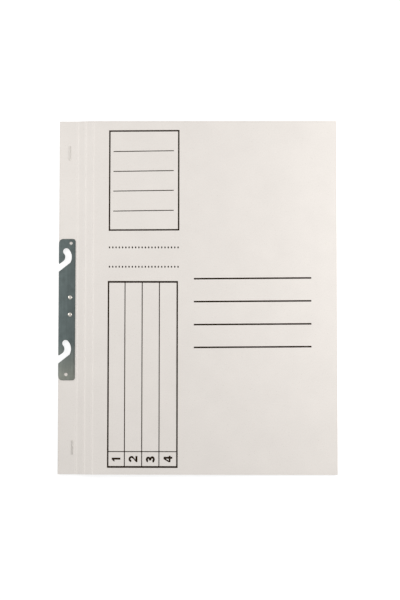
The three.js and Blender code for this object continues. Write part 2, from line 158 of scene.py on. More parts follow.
class Graph:
    """A material's node graph, with short ways to add nodes and join them."""

    def __init__(self, name: str) -> None:
        """Makes a new material and clears its nodes.

        Args:
            name: The material's name.
        """
        self.material = bpy.data.materials.new(name)
        self.material.use_nodes = True
        self.tree = self.material.node_tree
        self.tree.nodes.clear()

    def node(self, kind: str, inputs: dict | None = None, **settings: object) -> bpy.types.Node:
        """Adds one node.

        Args:
            kind: The node's type, without its ShaderNode prefix.
            inputs: Values or sockets for its inputs, by name or number.
            **settings: The node's own properties.

        Returns:
            The new node.
        """
        made = self.tree.nodes.new("ShaderNode" + kind)
        for key, value in settings.items():
            setattr(made, key, value)
        for key, value in (inputs or {}).items():
            if isinstance(value, Socket):
                self.tree.links.new(value, made.inputs[key])
            else:
                made.inputs[key].default_value = value
        return made

    def math(self, operation: str, *values: object) -> Socket:
        """Adds a Math node and gives its result.

        Args:
            operation: The operation's name.
            *values: One to three numbers or sockets.

        Returns:
            The result's socket.
        """
        return self.node("Math", dict(enumerate(values)), operation=operation).outputs[0]

    def total(self, *values: object) -> object:
        """Adds up numbers and sockets, from the left."""
        return reduce(lambda so_far, value: self.math("ADD", so_far, value), values)

    def away(self, across: Socket, x: float) -> Socket:
        """Distance of a point from a line up the page.

        Args:
            across: The point's place across the page, in the frame's metres.
            x: The line's distance from the spine fold, in millimetres.

        Returns:
            The distance's socket, in metres.
        """
        return self.math("ABSOLUTE", self.math("SUBTRACT", across, (x - FILE_WIDTH / 2) * MM))

    def mix(self, share: object, low: object, high: object) -> Socket:
        """Mixes two colours.

        Args:
            share: How much of the second colour shows, 0 to 1.
            low: The first colour.
            high: The second colour.

        Returns:
            The mixed colour's socket.
        """
        return self.node("Mix", {0: share, 6: low, 7: high}, data_type="RGBA").outputs[2]

    def spread(self, value: object, low: float, high: float, to_low: float, to_high: float) -> Socket:
        """Maps a value from one range to another, and stops at its ends.

        Args:
            value: The socket to map.
            low: Where the first range starts.
            high: Where the first range ends.
            to_low: Where the second range starts.
            to_high: Where the second range ends.

        Returns:
            The mapped value's socket.
        """
        return self.node("MapRange", {0: value, 1: low, 2: high, 3: to_low, 4: to_high}).outputs[0]

    def swing(self, pattern: Socket, amount: float, low: float = NOISE_LOW,
              high: float = NOISE_HIGH) -> Socket:
        """Turns a noise pattern into a change of tone to either side of zero.

        Args:
            pattern: The pattern's socket.
            amount: How far the tone changes at most.
            low: The pattern's value that gives the darkest tone.
            high: Its value that gives the lightest.

        Returns:
            The change's socket.
        """
        return self.spread(pattern, low, high, -amount, amount)

    def noise(self, place: object, scale: float, detail: float = 2.0, rough: float = 0.5) -> Socket:
        """Adds a noise pattern.

        Args:
            place: The coordinates' socket.
            scale: Spots in a metre.
            detail: How many finer layers it has.
            rough: How strong the finer layers are.

        Returns:
            The pattern's value, 0 to 1.
        """
        inputs = {"Vector": place, "Scale": scale, "Detail": detail, "Roughness": rough}
        return self.node("TexNoise", inputs).outputs[0]

    def stretched(self, place: object, stretch: Sequence[float]) -> Socket:
        """Stretches coordinates, so that a pattern gets a grain.

        Args:
            place: The coordinates' socket.
            stretch: The factor along x, y and z.

        Returns:
            The stretched coordinates' socket.
        """
        return self.node("Mapping", {"Vector": place, "Scale": tuple(stretch)}).outputs[0]

    def lit(self, colour: object, amount: object) -> Socket:
        """Makes a colour lighter or darker.

        Args:
            colour: The colour or its socket.
            amount: The factor.

        Returns:
            The scaled colour's socket.
        """
        value = colour if isinstance(colour, Socket) else tuple(colour)[:3]
        return self.node("VectorMath", {0: value, "Scale": amount}, operation="SCALE").outputs[0]

    def surface(self, shader: bpy.types.Node) -> bpy.types.Material:
        """Joins a shader to the output.

        Args:
            shader: The last shader node.

        Returns:
            The finished material.
        """
        self.node("OutputMaterial", {"Surface": shader.outputs[0]})
        return self.material

    def coat(self, inputs: dict, height: Socket, depth_mm: float, strength: float) -> bpy.types.Material:
        """Makes a surface with a fine relief.

        Args:
            inputs: The shader's inputs by name, without its normal.
            height: The relief's pattern.
            depth_mm: How deep the relief is.
            strength: How much of it shows, 0 to 1.

        Returns:
            The finished material.
        """
        bump = self.node("Bump", {"Strength": strength, "Distance": depth_mm * MM, "Height": height})
        return self.surface(self.node("BsdfPrincipled", inputs | {"Normal": bump.outputs[0]}))


@dataclass(frozen=True)
class BoardFinish:
    """Uncoated board: cloudy pulp, fine fibres, a few specks, a painted highlight along each crease and
    painted light on the spine strips between the creases.

    Scales are in spots per metre. The creases' span and fade and the soil's reach are in millimetres,
    and speck_span and soil_span are the parts of their noise's range that show.
    """

    name: str
    colour: Colour
    cloud: float = 0.018
    cloud_scale: float = 38.0
    grain: float = 0.03
    fibre_scale: float = 2600.0
    fibre_stretch: Place = (1.0, 0.3, 1.0)
    pulp_scale: float = 900.0
    speck: float = 0.35
    speck_colour: Colour = (150, 132, 108)
    speck_scale: float = 2300.0
    speck_stretch: Place = (1.0, 0.5, 1.0)
    speck_span: Point = (0.78, 0.84)
    roughness: float = 0.82
    smoother_by: float = 0.05
    rougher_by: float = 0.06
    specular: float = 0.25
    bump_mm: float = 0.014
    bump_strength: float = 0.6
    fibre_relief: float = 0.6
    pulp_relief: float = 0.4
    creases_mm: tuple[float, ...] = ()
    # Painted light: a highlight along each crease, and lighter spine strips against the shade of their
    # slope.
    crease_painted_highlight: float = 0.04
    crease_span: Point = (0.5, 1.9)
    strip_painted_light: float = 0.015
    strip_fade: float = 0.5
    soiled_edge: float = 0.05
    soil_reach: float = 1.6
    soil_scale: float = 120.0
    soil_span: Point = (0.35, 0.7)
    soil_least: float = 0.3

    def material(self) -> bpy.types.Material:
        """Builds the material on coordinates that stay with the sheet when it bends.

        Returns:
            The finished material.
        """
        graph = Graph(self.name)
        place = graph.node("Attribute", attribute_name=REST_PLACE).outputs["Vector"]
        cloud = graph.noise(place, self.cloud_scale, 3.0, 0.6)
        fibre = graph.noise(graph.stretched(place, self.fibre_stretch), self.fibre_scale, 3.0, 0.65)
        pulp = graph.noise(place, self.pulp_scale, 2.0, 0.6)
        speck = graph.noise(graph.stretched(place, self.speck_stretch), self.speck_scale, 0.0)
        # This mottle includes the painted highlight on the creases and the painted light on the spine
        # strips.
        mottle_and_painted_light = graph.total(graph.swing(cloud, self.cloud), graph.swing(fibre, self.grain, 0.25, 0.75),
                            graph.swing(pulp, self.grain / 2), self._painted_crease_and_strip_light(graph, place))
        tone = graph.math("SUBTRACT", mottle_and_painted_light, self._edge_soil(graph, place))
        plain = graph.lit(linear(self.colour), graph.total(tone, 1.0))
        specks = graph.spread(speck, *self.speck_span, 0.0, self.speck)
        smooth, rough = self.roughness - self.smoother_by, self.roughness + self.rougher_by
        relief = graph.total(graph.math("MULTIPLY", fibre, self.fibre_relief),
                             graph.math("MULTIPLY", pulp, self.pulp_relief))
        return graph.coat({
            "Base Color": graph.mix(specks, plain, linear(self.speck_colour)),
            "Roughness": graph.spread(pulp, NOISE_LOW, NOISE_HIGH, smooth, rough),
            "Specular IOR Level": self.specular,
        }, relief, self.bump_mm, self.bump_strength)

    def _painted_crease_and_strip_light(self, graph: Graph, place: Socket) -> object:
        """Paints light onto the board: a highlight along each crease's ridge, and lighter spine strips
        between the creases, against the shade that their slope gets.

        Args:
            graph: The graph to add to.
            place: The sheet's coordinates.

        Returns:
            How much painted light is added.
        """
        if not self.creases_mm:
            return 0.0
        across = graph.node("SeparateXYZ", {0: place}).outputs[0]
        near, far = (distance * MM for distance in self.crease_span)
        lines = [graph.spread(graph.away(across, crease), near, far, self.crease_painted_highlight, 0.0)
                 for crease in self.creases_mm]
        first, last = self.creases_mm[0], self.creases_mm[-1]
        start, stop = (((last - first) / 2 + side * self.strip_fade) * MM for side in (-1, 1))
        off_middle = graph.away(across, (first + last) / 2)
        return graph.total(0.0, *lines, graph.spread(off_middle, start, stop, self.strip_painted_light, 0.0))

    def _edge_soil(self, graph: Graph, place: Socket) -> Socket:
        """Makes the board a little darker along its outline, where hands and shelves rub it.

        Args:
            graph: The graph to add to.
            place: The sheet's coordinates.

        Returns:
            How much darker the board is.
        """
        apart = graph.node("SeparateXYZ", {0: place})
        nearest: object = 1.0
        for axis, size in enumerate((FILE_WIDTH, FILE_HEIGHT)):
            inside = graph.math("SUBTRACT", size / 2 * MM, graph.math("ABSOLUTE", apart.outputs[axis]))
            nearest = graph.math("MINIMUM", nearest, inside)
        rub = graph.spread(graph.noise(place, self.soil_scale, 3.0), *self.soil_span, self.soil_least, 1.0)
        soil = graph.spread(nearest, 0.0, self.soil_reach * MM, self.soiled_edge, 0.0)
        return graph.math("MULTIPLY", soil, rub)


@dataclass(frozen=True)
class MetalFinish:
    """Sheet or wire metal with a rolling grain, fine scratches and a dull bloom, and where asked a painted
    reflection that lightens it low on the page and painted shade that darkens it towards the right.

    Scales are in spots per metre, spans in millimetres from the spine fold or the bottom edge.
    """

    name: str
    colour: Colour
    colour_above_painted_reflection: Colour | None = None
    painted_reflection_span: Point = (84.0, 114.0)
    roughness: float = 0.38
    smoother_by: float = 0.06
    rougher_by: float = 0.08
    metallic: float = 0.92
    grain: float = 0.05
    grain_scale: float = 5200.0
    stretch: Place = (1.0, 0.05, 1.0)
    bloom: float = 0.08
    bloom_scale: float = 210.0
    streak: float = 0.0
    streak_scale: float = 800.0
    streak_stretch: Place = (1.0, 0.04, 1.0)
    painted_shade_across: float = 0.0
    painted_shade_span: Point = (1.0, 14.0)
    bump_mm: float = 0.004
    bump_strength: float = 0.5

    def material(self) -> bpy.types.Material:
        """Builds the material on the object's own coordinates.

        Returns:
            The finished material.
        """
        graph = Graph(self.name)
        place = graph.node("TexCoord").outputs["Object"]
        grain = graph.noise(graph.stretched(place, self.stretch), self.grain_scale, 2.0, 0.6)
        bloom = graph.noise(place, self.bloom_scale, 4.0, 0.6)
        tones = [graph.swing(grain, self.grain), graph.swing(bloom, self.bloom)]
        if self.streak:
            streak = graph.noise(graph.stretched(place, self.streak_stretch), self.streak_scale, 3.0, 0.6)
            tones.append(graph.swing(streak, self.streak))
        # Painted shade across the metal: lighter at the left end of its span and darker at the right end.
        if self.painted_shade_across:
            across = graph.node("SeparateXYZ", {0: place}).outputs[0]
            low, high = (in_frame(x, 0.0, 0.0)[0] for x in self.painted_shade_span)
            tones.append(graph.spread(across, low, high, self.painted_shade_across, -self.painted_shade_across))
        smooth, rough = self.roughness - self.smoother_by, self.roughness + self.rougher_by
        return graph.coat({
            "Base Color": graph.lit(self._colour(graph, place), graph.total(*tones, 1.0)),
            "Metallic": self.metallic,
            "Roughness": graph.spread(bloom, NOISE_LOW, NOISE_HIGH, smooth, rough),
        }, grain, self.bump_mm, self.bump_strength)

    def _colour(self, graph: Graph, place: Socket) -> object:
        """Gives the plain colour, or one with a painted reflection: lighter low on the page, fading into the
        colour further up.

        Args:
            graph: The graph to add to.
            place: The object's coordinates.

        Returns:
            The colour, or its socket.
        """
        if self.colour_above_painted_reflection is None:
            return linear(self.colour)
        # Painted reflection: the colour low on the page is lighter and fades into the upper colour across
        # the span.
        up_page = graph.node("SeparateXYZ", {0: place}).outputs[1]
        low, high = (in_frame(0.0, y, 0.0)[1] for y in self.painted_reflection_span)
        share = graph.spread(up_page, low, high, 0.0, 1.0)
        return graph.mix(share, linear(self.colour), linear(self.colour_above_painted_reflection))


@dataclass(frozen=True)
class InkFinish:
    """Dark printing ink that has sunk into the board, with patches where the noise is in patch_span."""

    name: str
    colour: Colour
    unevenness: float = 0.25
    patch_scale: float = 1400.0
    patch_span: Point = (0.3, 0.75)
    roughness: float = 0.62
    specular: float = 0.04
    bump_mm: float = 0.004
    bump_strength: float = 0.3

    def material(self) -> bpy.types.Material:
        """Builds the material.

        Returns:
            The finished material.
        """
        graph = Graph(self.name)
        place = graph.node("TexCoord").outputs["Object"]
        patch = graph.noise(place, self.patch_scale, 3.0, 0.6)
        light = graph.spread(patch, *self.patch_span, 1.0 - self.unevenness, 1.0 + self.unevenness)
        return graph.coat({
            "Base Color": graph.lit(linear(self.colour), light),
            "Roughness": self.roughness,
            "Specular IOR Level": self.specular,
        }, patch, self.bump_mm, self.bump_strength)


@dataclass(frozen=True)
class FloorFinish:
    """White ground that reads as white in the picture and still takes the file's shadow."""

    name: str = "white_ground"
    own_light: float = 0.7
    shade: float = 0.5

    def material(self) -> bpy.types.Material:
        """Builds the material, brighter for the camera and for reflections than for other light.

        Returns:
            The finished material.
        """
        graph = Graph(self.name)
        ray = graph.node("LightPath")
        seen = graph.math("MAXIMUM", ray.outputs["Is Camera Ray"], ray.outputs["Is Glossy Ray"])
        seen = graph.math("MAXIMUM", seen, ray.outputs["Is Transmission Ray"])
        plain = graph.node("BsdfDiffuse", {"Color": (self.shade, self.shade, self.shade, 1.0)})
        glow = graph.node("Emission", {"Strength": graph.math("MULTIPLY", seen, self.own_light)})
        both = graph.node("AddShader", {0: plain.outputs[0], 1: glow.outputs[0]})
        return graph.surface(both)


def arc(centre: Point, radius: float, start_deg: float, end_deg: float, steps: int) -> Outline:
    """Points on an arc, both ends included.

    Args:
        centre: The arc's centre.
        radius: Its radius.
        start_deg: Where it starts, in degrees.
        end_deg: Where it ends, in degrees.
        steps: How many steps it has.

    Returns:
        The points.
    """
    angles = [math.radians(start_deg + (end_deg - start_deg) * i / steps) for i in range(steps + 1)]
    return [(centre[0] + radius * math.cos(a), centre[1] + radius * math.sin(a)) for a in angles]


def rectangle(left: float, bottom: float, right: float, top: float) -> Outline:
    """A rectangle's outline, counter-clockwise."""
    return [(left, bottom), (right, bottom), (right, top), (left, top)]


def rounded_rectangle(left: float, bottom: float, right: float, top: float, radius: float) -> Outline:
    """A rectangle's outline with round corners, counter-clockwise.

    Args:
        left: Its left side.
        bottom: Its bottom side.
        right: Its right side.
        top: Its top side.
        radius: Its corners' radius.

    Returns:
        The points.
    """
    inner_left, inner_right = left + radius, right - radius
    inner_bottom, inner_top = bottom + radius, top - radius
    outline = arc((inner_right, inner_bottom), radius, -90, 0, CORNER_STEPS)
    outline += arc((inner_right, inner_top), radius, 0, 90, CORNER_STEPS)
    outline += arc((inner_left, inner_top), radius, 90, 180, CORNER_STEPS)
    return outline + arc((inner_left, inner_bottom), radius, 180, 270, CORNER_STEPS)


def circle(centre: Point, radius: float, steps: int = 32) -> Outline:
    """A circle's outline, counter-clockwise."""
    return arc(centre, radius, 0, 360, steps)[:-1]


def signed_area(outline: Outline) -> float:
    """The area inside an outline, negative if it runs clockwise."""
    ends = outline[1:] + outline[:1]
    return sum(x0 * y1 - x1 * y0 for (x0, y0), (x1, y1) in zip(outline, ends)) / 2


def turned(outline: Outline, counter_clockwise: bool) -> Outline:
    """The same outline, running the wanted way round."""
    return outline if (signed_area(outline) > 0) == counter_clockwise else outline[::-1]


def without_repeats(outline: Outline) -> Outline:
    """The same outline without points that lie on the one before them."""
    return [point for i, point in enumerate(outline) if math.dist(point, outline[i - 1]) > SAME_PLACE]


def finer(outline: Outline, longest: float) -> Outline:
    """Adds points to an outline until no side is longer than a length.

    Args:
        outline: The outline.
        longest: The length.

    Returns:
        The outline with its new points.
    """
    points: Outline = []
    for (x0, y0), (x1, y1) in zip(outline, outline[1:] + outline[:1]):
        count = max(1, math.ceil(math.dist((x0, y0), (x1, y1)) / longest))
        points += [(x0 + (x1 - x0) * i / count, y0 + (y1 - y0) * i / count) for i in range(count)]
    return points


def inset(outline: Outline, distance: float) -> Outline:
    """Moves an outline to its left, into the material.

    Args:
        outline: The outline, with the material on its left.
        distance: How far it moves.

    Returns:
        The moved outline, point for point.
    """
    moved: Outline = []
    for i, (x, y) in enumerate(outline):
        before, here = Vector(outline[i - 1]), Vector((x, y))
        after = Vector(outline[(i + 1) % len(outline)])
        into, out = (here - before).normalized(), (after - here).normalized()
        middle = (into + out).normalized()
        spread = max(middle.dot(out), LEAST_SPREAD)
        moved.append((x - middle.y * distance / spread, y + middle.x * distance / spread))
    return moved


class Shell:
    """Vertices and faces of one piece while it is being built, in the frame's metres."""

    def __init__(self, lift: Lift = in_frame) -> None:
        """Starts an empty shell.

        Args:
            lift: Turns millimetres from the file's corner into a place in the frame.
        """
        self.lift = lift
        self.vertices: list[Place] = []
        self.faces: list[tuple[int, ...]] = []
        self.flat: list[bool] = []
        self.slots: list[int] = []

    def point(self, x: float, y: float, z: float) -> int:
        """Adds a vertex and gives its number."""
        self.vertices.append(self.lift(x, y, z))
        return len(self.vertices) - 1

    def face(self, corners: Sequence[int], flat: bool = False, slot: int = 0) -> None:
        """Adds a face.

        Args:
            corners: Its vertices' numbers, counter-clockwise from outside.
            flat: Whether it is shaded flat.
            slot: Its material slot.
        """
        self.faces.append(tuple(corners))
        self.flat.append(flat)
        self.slots.append(slot)

    def ring(self, outline: Outline, z: float) -> list[int]:
        """Adds an outline's vertices at one height and gives their numbers."""
        return [self.point(x, y, z) for x, y in outline]

    def wall(self, lower: Sequence[int], upper: Sequence[int], slot: int = 0) -> None:
        """Joins two closed rings by a wall that faces away from the material on their left.

        Args:
            lower: The lower ring's vertex numbers.
            upper: The upper ring's.
            slot: The wall's material slot.
        """
        for here in range(len(lower)):
            there = (here + 1) % len(lower)
            self.face((lower[here], lower[there], upper[there], upper[here]), slot=slot)

    def cap(self, rings: Sequence[Sequence[int]], outlines: Sequence[Outline], up: bool) -> None:
        """Fills the area between an outer ring and its holes.

        Args:
            rings: Vertex numbers of each ring.
            outlines: The same rings as outlines.
            up: Whether the cap faces up.
        """
        numbers = [number for ring in rings for number in ring]
        points = [point for outline in outlines for point in outline]
        loops = [[Vector((x, y, 0.0)) for x, y in outline] for outline in outlines]
        for triangle in tessellate_polygon(loops):
            area = signed_area([points[i] for i in triangle])
            if abs(area) > NO_AREA:
                corners = [numbers[i] for i in triangle]
                self.face(corners if (area > 0) == up else corners[::-1], flat=True)

    def plate(self, outlines: Sequence[Outline], levels: Sequence[Point], longest: float = 1000.0,
              edge_slot: int = 0) -> None:
        """Adds a flat plate with shaped edges.

        Args:
            outlines: The outer outline and then the holes.
            levels: From the bottom up, how far in and how high each step of the edge is.
            longest: The longest side that an outline may have.
            edge_slot: The material slot of its outer edge.
        """
        sides = [finer(without_repeats(turned(outline, index == 0)), longest)
                 for index, outline in enumerate(outlines)]
        stacks = [[self.ring(inset(side, step), z) for step, z in levels] for side in sides]
        for index, stack in enumerate(stacks):
            for lower, upper in zip(stack, stack[1:]):
                self.wall(lower, upper, 0 if index else edge_slot)
        for level, up in ((0, False), (-1, True)):
            moved = [inset(side, levels[level][0]) for side in sides]
            self.cap([stack[level] for stack in stacks], moved, up)

    def lathe(self, centre: Point, profile: Outline, steps: int) -> None:
        """Turns a profile round an upright axis.

        Args:
            centre: The axis.
            profile: Radius and height of each point, from the lower end on the axis to the upper one.
            steps: Steps round the axis.
        """
        low = self.point(*centre, profile[0][1])
        rings = [self.ring(circle(centre, radius, steps), z) for radius, z in profile[1:-1]]
        high = self.point(*centre, profile[-1][1])
        for lower, upper in zip(rings, rings[1:]):
            self.wall(lower, upper)
        for here in range(steps):
            there = (here + 1) % steps
            self.face((low, rings[0][there], rings[0][here]))
            self.face((rings[-1][here], rings[-1][there], high))

    def piece(self, name: str, materials: Sequence[bpy.types.Material],
              sharp_deg: float = 40.0) -> bpy.types.Object:
        """Makes the shell into a scene object.

        Args:
            name: The piece's name.
            materials: Its materials, in slot order.
            sharp_deg: Edges sharper than this angle get a crisp line.

        Returns:
            The new object.
        """
        mesh = bpy.data.meshes.new(name)
        mesh.from_pydata(self.vertices, [], self.faces)
        for material in materials:
            mesh.materials.append(material)
        mesh.polygons.foreach_set("material_index", self.slots)
        mesh.shade_smooth()
        mesh.set_sharp_from_angle(angle=math.radians(sharp_deg))
        mesh.polygons.foreach_set("use_smooth", [not flat for flat in self.flat])
        mesh.update()
        return add_to_scene(name, mesh)


def add_to_scene(name: str, data: bpy.types.ID) -> bpy.types.Object:
    """Puts a mesh, a lamp or a camera into the scene as an object.

    Args:
        name: The object's name.
        data: The mesh, lamp or camera.

    Returns:
        The new object.
    """
    made = bpy.data.objects.new(name, data)
    bpy.context.scene.collection.objects.link(made)
    return made


def settle(piece: bpy.types.Object, body: str, node: str | None = None) -> None:
    """Fixes a finished piece to its body and hides the CAD node whose place it takes.

    Args:
        piece: The piece.
        body: The body that it moves with.
        node: The CAD node whose place it takes, if it takes one's.
    """
    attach(piece, body)
    if node:
        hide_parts(node)


def apply_modifiers(piece: bpy.types.Object, sharp_deg: float) -> None:
    """Replaces a piece's mesh by what its modifiers make of it, and shades it smoothly.

    Args:
        piece: The piece.
        sharp_deg: Edges sharper than this angle get a crisp line.
    """
    graph = bpy.context.evaluated_depsgraph_get()
    mesh = bpy.data.meshes.new_from_object(piece.evaluated_get(graph))
    piece.modifiers.clear()
    old, piece.data = piece.data, mesh
    bpy.data.meshes.remove(old)
    mesh.name = piece.name
    mesh.shade_smooth()
    mesh.set_sharp_from_angle(angle=math.radians(sharp_deg))


def rounded_edge(low: float, high: float, radius: float, steps: int = 3) -> list[Point]:
    """Steps of a plate's edge that is rounded at the top and the bottom.

    Args:
        low: The plate's lower face.
        high: Its upper face.
        radius: The rounding.
        steps: Steps in each rounding.

    Returns:
        How far in and how high each step is, from the bottom up.
    """
    turns = [math.pi / 2 * i / steps for i in range(steps + 1)]
    corner = [(radius * (1 - math.sin(a)), radius * (1 - math.cos(a))) for a in turns]
    return [(x, low + z) for x, z in corner] + [(x, high - z) for x, z in corner[::-1]]


class Side(Enum):
    """Which part of a board a face belongs to. The value is its material slot."""

    OUTER = 0
    INNER = 1
    EDGE = 2


@dataclass
class CoverSheet:
    """The folded sheet: back cover, spine fold, margin, two spine strips and front cover.

    Each crease is a raised bead on the outer face and a groove on the inner one, with rows of points
    at the distances in rows_by_crease to either side. The steps are the longest ways between rows
    elsewhere. The ramp is where the back cover comes down from under the spine to the table. The
    notches behind the hook slots are cut at the eyes' nominal heights.
    """

    board: float = 0.4
    bead_half_width: float = 0.8
    groove: float = 0.13
    groove_half_width: float = 0.6
    blend_reach: float = 1.0
    margin_seam: float = 14.2
    fold_steps: int = 16
    ramp: Point = (46.0, 66.0)
    row_step: float = 5.0
    coarse_step: float = 5.0
    middle_step: float = 4.0
    fine_step: float = 2.0
    strip_step: float = 1.0
    rows_by_crease: tuple[float, ...] = (
        0.08, 0.16, 0.25, 0.35, 0.45, 0.55, 0.65, 0.75, 0.85, 1.0, 1.2, 1.6, 2.2,
    )
    least_step: float = 0.05
    wave: float = 0.12
    wave_start: float = 8.0
    wave_reach: float = 90.0
    short_wave: float = 47.0
    short_wave_share: float = 0.6
    short_wave_phase: float = 0.6
    long_wave: float = 83.0
    slant_wave: float = 71.0
    underside_shift: float = 0.5
    notch_margin: float = 1.4
    notch_corner: float = 2.0
    notch_right: float = 12.45
    hook_eyes: Point = (111.8, 191.8)
    eye_radius: float = 2.95
    mouth_floor_below_eye: float = 17.78
    cutter_left: float = -4.0
    cutter_levels: Point = (-1.0, 6.0)
    sharp_deg: float = 50.0
    crowns: Outline = field(init=False)
    creases: Outline = field(init=False)
    bead: float = field(init=False)
    margin_top: float = field(init=False)
    back_under: float = field(init=False)
    open_edge_top: float = field(init=False)
    fold_radius: float = field(init=False)

    def measure(self, joints: Sequence[dict]) -> None:
        """Reads the boards' heights and the crease lines from the frame.

        Args:
            joints: The frame's joints.
        """
        pivots = {joint["name"]: joint.get("pos_m") for joint in joints}
        self.crowns = [(pivots[name][0] / MM + FILE_WIDTH / 2, pivots[name][2] / MM)
                       for name in ("spine_rise", "spine_level", "cover_fold")]
        self.margin_top = node_box("hanging_rail")[0].z
        self.back_under = node_box("carrier_strip")[0].z - self.board
        self.open_edge_top = node_box("front_cover")[0].z + self.board
        self.fold_radius = (self.margin_top - self.back_under) / 2
        self.bead = self.crowns[0][1] - self.margin_top
        self.creases = [(x, z - self.bead) for x, z in self.crowns]
        log.info("cover sheet: creases at %s", self.creases)

    def stretch_wave(self, x: float, y: float) -> float:
        """How far the front cover lies above or below its flat shape, since board is never flat.

        Args:
            x: Millimetres from the spine fold.
            y: Millimetres from the bottom edge.

        Returns:
            The height in millimetres.
        """
        free = smoothstep((x - self.creases[2][0] - self.wave_start) / self.wave_reach)
        short = math.sin(y / self.short_wave + self.short_wave_phase) * self.short_wave_share
        long = math.sin(y / self.long_wave + x / self.slant_wave) * (1 - self.short_wave_share)
        return self.wave * free * (short + long)

    def cover_top(self, x: float, y: float) -> float:
        """Height of the front cover's outer face.

        Args:
            x: Millimetres from the spine fold.
            y: Millimetres from the bottom edge.

        Returns:
            The height in millimetres.
        """
        start_x, start_z = self.creases[2]
        share = (x - start_x) / (FILE_WIDTH - start_x)
        return start_z + (self.open_edge_top - start_z) * share + self.stretch_wave(x, y)

    def on_cover(self, x: float, y: float, z: float) -> Place:
        """Puts a point of the print on the front cover.

        Args:
            x: Millimetres from the spine fold.
            y: Millimetres from the bottom edge.
            z: Millimetres above the cover's outer face.

        Returns:
            The place in the frame.
        """
        return in_frame(x, y, self.cover_top(x, y) + z)

    def _bump(self, distance: float, height: float, half_width: float) -> float:
        """Height of a crease's round ridge at a distance from its line.

        Args:
            distance: How far away its line is.
            height: The ridge's height on its line.
            half_width: How far the ridge reaches to either side.

        Returns:
            The height.
        """
        if abs(distance) >= half_width:
            return 0.0
        return height * (0.5 + 0.5 * math.cos(math.pi * distance / half_width))

    def _marks(self, low: float, high: float, length: float, creased: tuple[bool, bool],
               step: float) -> list[float]:
        """Distances at which a stretch of the sheet gets a row of points, denser by its creases.

        Args:
            low: Where the wanted part starts.
            high: Where it ends.
            length: The whole stretch's length.
            creased: Whether it starts and whether it ends at a crease.
            step: The longest step.

        Returns:
            The distances, in order.
        """
        marks = {mark for mark in self.rows_by_crease if creased[0]}
        marks |= {length - mark for mark in self.rows_by_crease if creased[1]}
        count = math.ceil((high - low) / step)
        marks |= {low + (high - low) * i / count for i in range(1, count)}
        spaced = [low]
        for mark in sorted(marks):
            if mark - spaced[-1] > self.least_step and mark < high - self.least_step:
                spaced.append(mark)
        return spaced + [high]

    def _stretch(self, start: Point, end: Point, creased: tuple[bool, bool], step: float,
                 share: Point = (0.0, 1.0)) -> list[Station]:
        """Section of the sheet between two points of its outer face.

        Args:
            start: Where the outer face starts, in x and z.
            end: Where it ends.
            creased: Whether it starts and whether it ends at a crease.
            step: The longest step away from the creases.
            share: Which part of the way is wanted.

        Returns:
            Points of the outer and of the inner face, in pairs.
        """
        length = math.dist(start, end)
        along = ((end[0] - start[0]) / length, (end[1] - start[1]) / length)
        up = (-along[1], along[0])
        stations: list[Station] = []
        for mark in self._marks(share[0] * length, share[1] * length, length, creased, step):
            ridge = groove = 0.0
            for present, away in zip(creased, (mark, length - mark)):
                if present:
                    ridge += self._bump(away, self.bead, self.bead_half_width)
                    groove += self._bump(away, self.groove, self.groove_half_width)
            x, z = start[0] + along[0] * mark, start[1] + along[1] * mark
            depth = self.board - groove
            stations.append(((x + up[0] * ridge, z + up[1] * ridge), (x - up[0] * depth, z - up[1] * depth)))
        return stations

    def _back_section(self) -> list[Station]:
        """Section from the back cover's open edge round the spine fold to the seam in the margin.

        Returns:
            Points of the outer and of the inner face, in pairs.
        """
        start, end = self.ramp
        section: list[Station] = []
        x = FILE_WIDTH
        while x > self.fold_radius:
            rise = self.back_under * (1 - smoothstep((x - start) / (end - start)))
            section.append(((x, rise), (x, rise + self.board)))
            on_ramp = start - self.fine_step < x <= end + self.fine_step
            x -= self.fine_step if on_ramp else self.coarse_step
        centre = (self.fold_radius, self.back_under + self.fold_radius)
        outside = arc(centre, self.fold_radius, 270, 90, self.fold_steps)
        inside = arc(centre, self.fold_radius - self.board, 270, 90, self.fold_steps)
        section += list(zip(outside, inside))
        return section + self._margin(0.0, self._seam_share())[1:]

    def _seam_share(self) -> float:
        """How far along the margin the seam lies, as a share of the margin."""
        return (self.margin_seam - self.fold_radius) / (self.creases[0][0] - self.fold_radius)

    def _margin(self, low: float, high: float) -> list[Station]:
        """Section of a part of the margin, from the spine fold to the first crease.

        Args:
            low: Where it starts, as a share of the margin.
            high: Where it ends.

        Returns:
            Points of the outer and of the inner face, in pairs.
        """
        start = (self.fold_radius, self.margin_top)
        return self._stretch(start, self.creases[0], (False, True), self.middle_step, (low, high))

    def _strip(self, start: Point, end: Point, share: Point) -> list[Station]:
        """Section of a part of a spine strip, from one crease to the next.

        Args:
            start: The crease where the strip starts, in x and z.
            end: The crease where it ends.
            share: Which part of the strip is wanted.

        Returns:
            Points of the outer and of the inner face, in pairs.
        """
        return self._stretch(start, end, (True, True), self.strip_step, share)

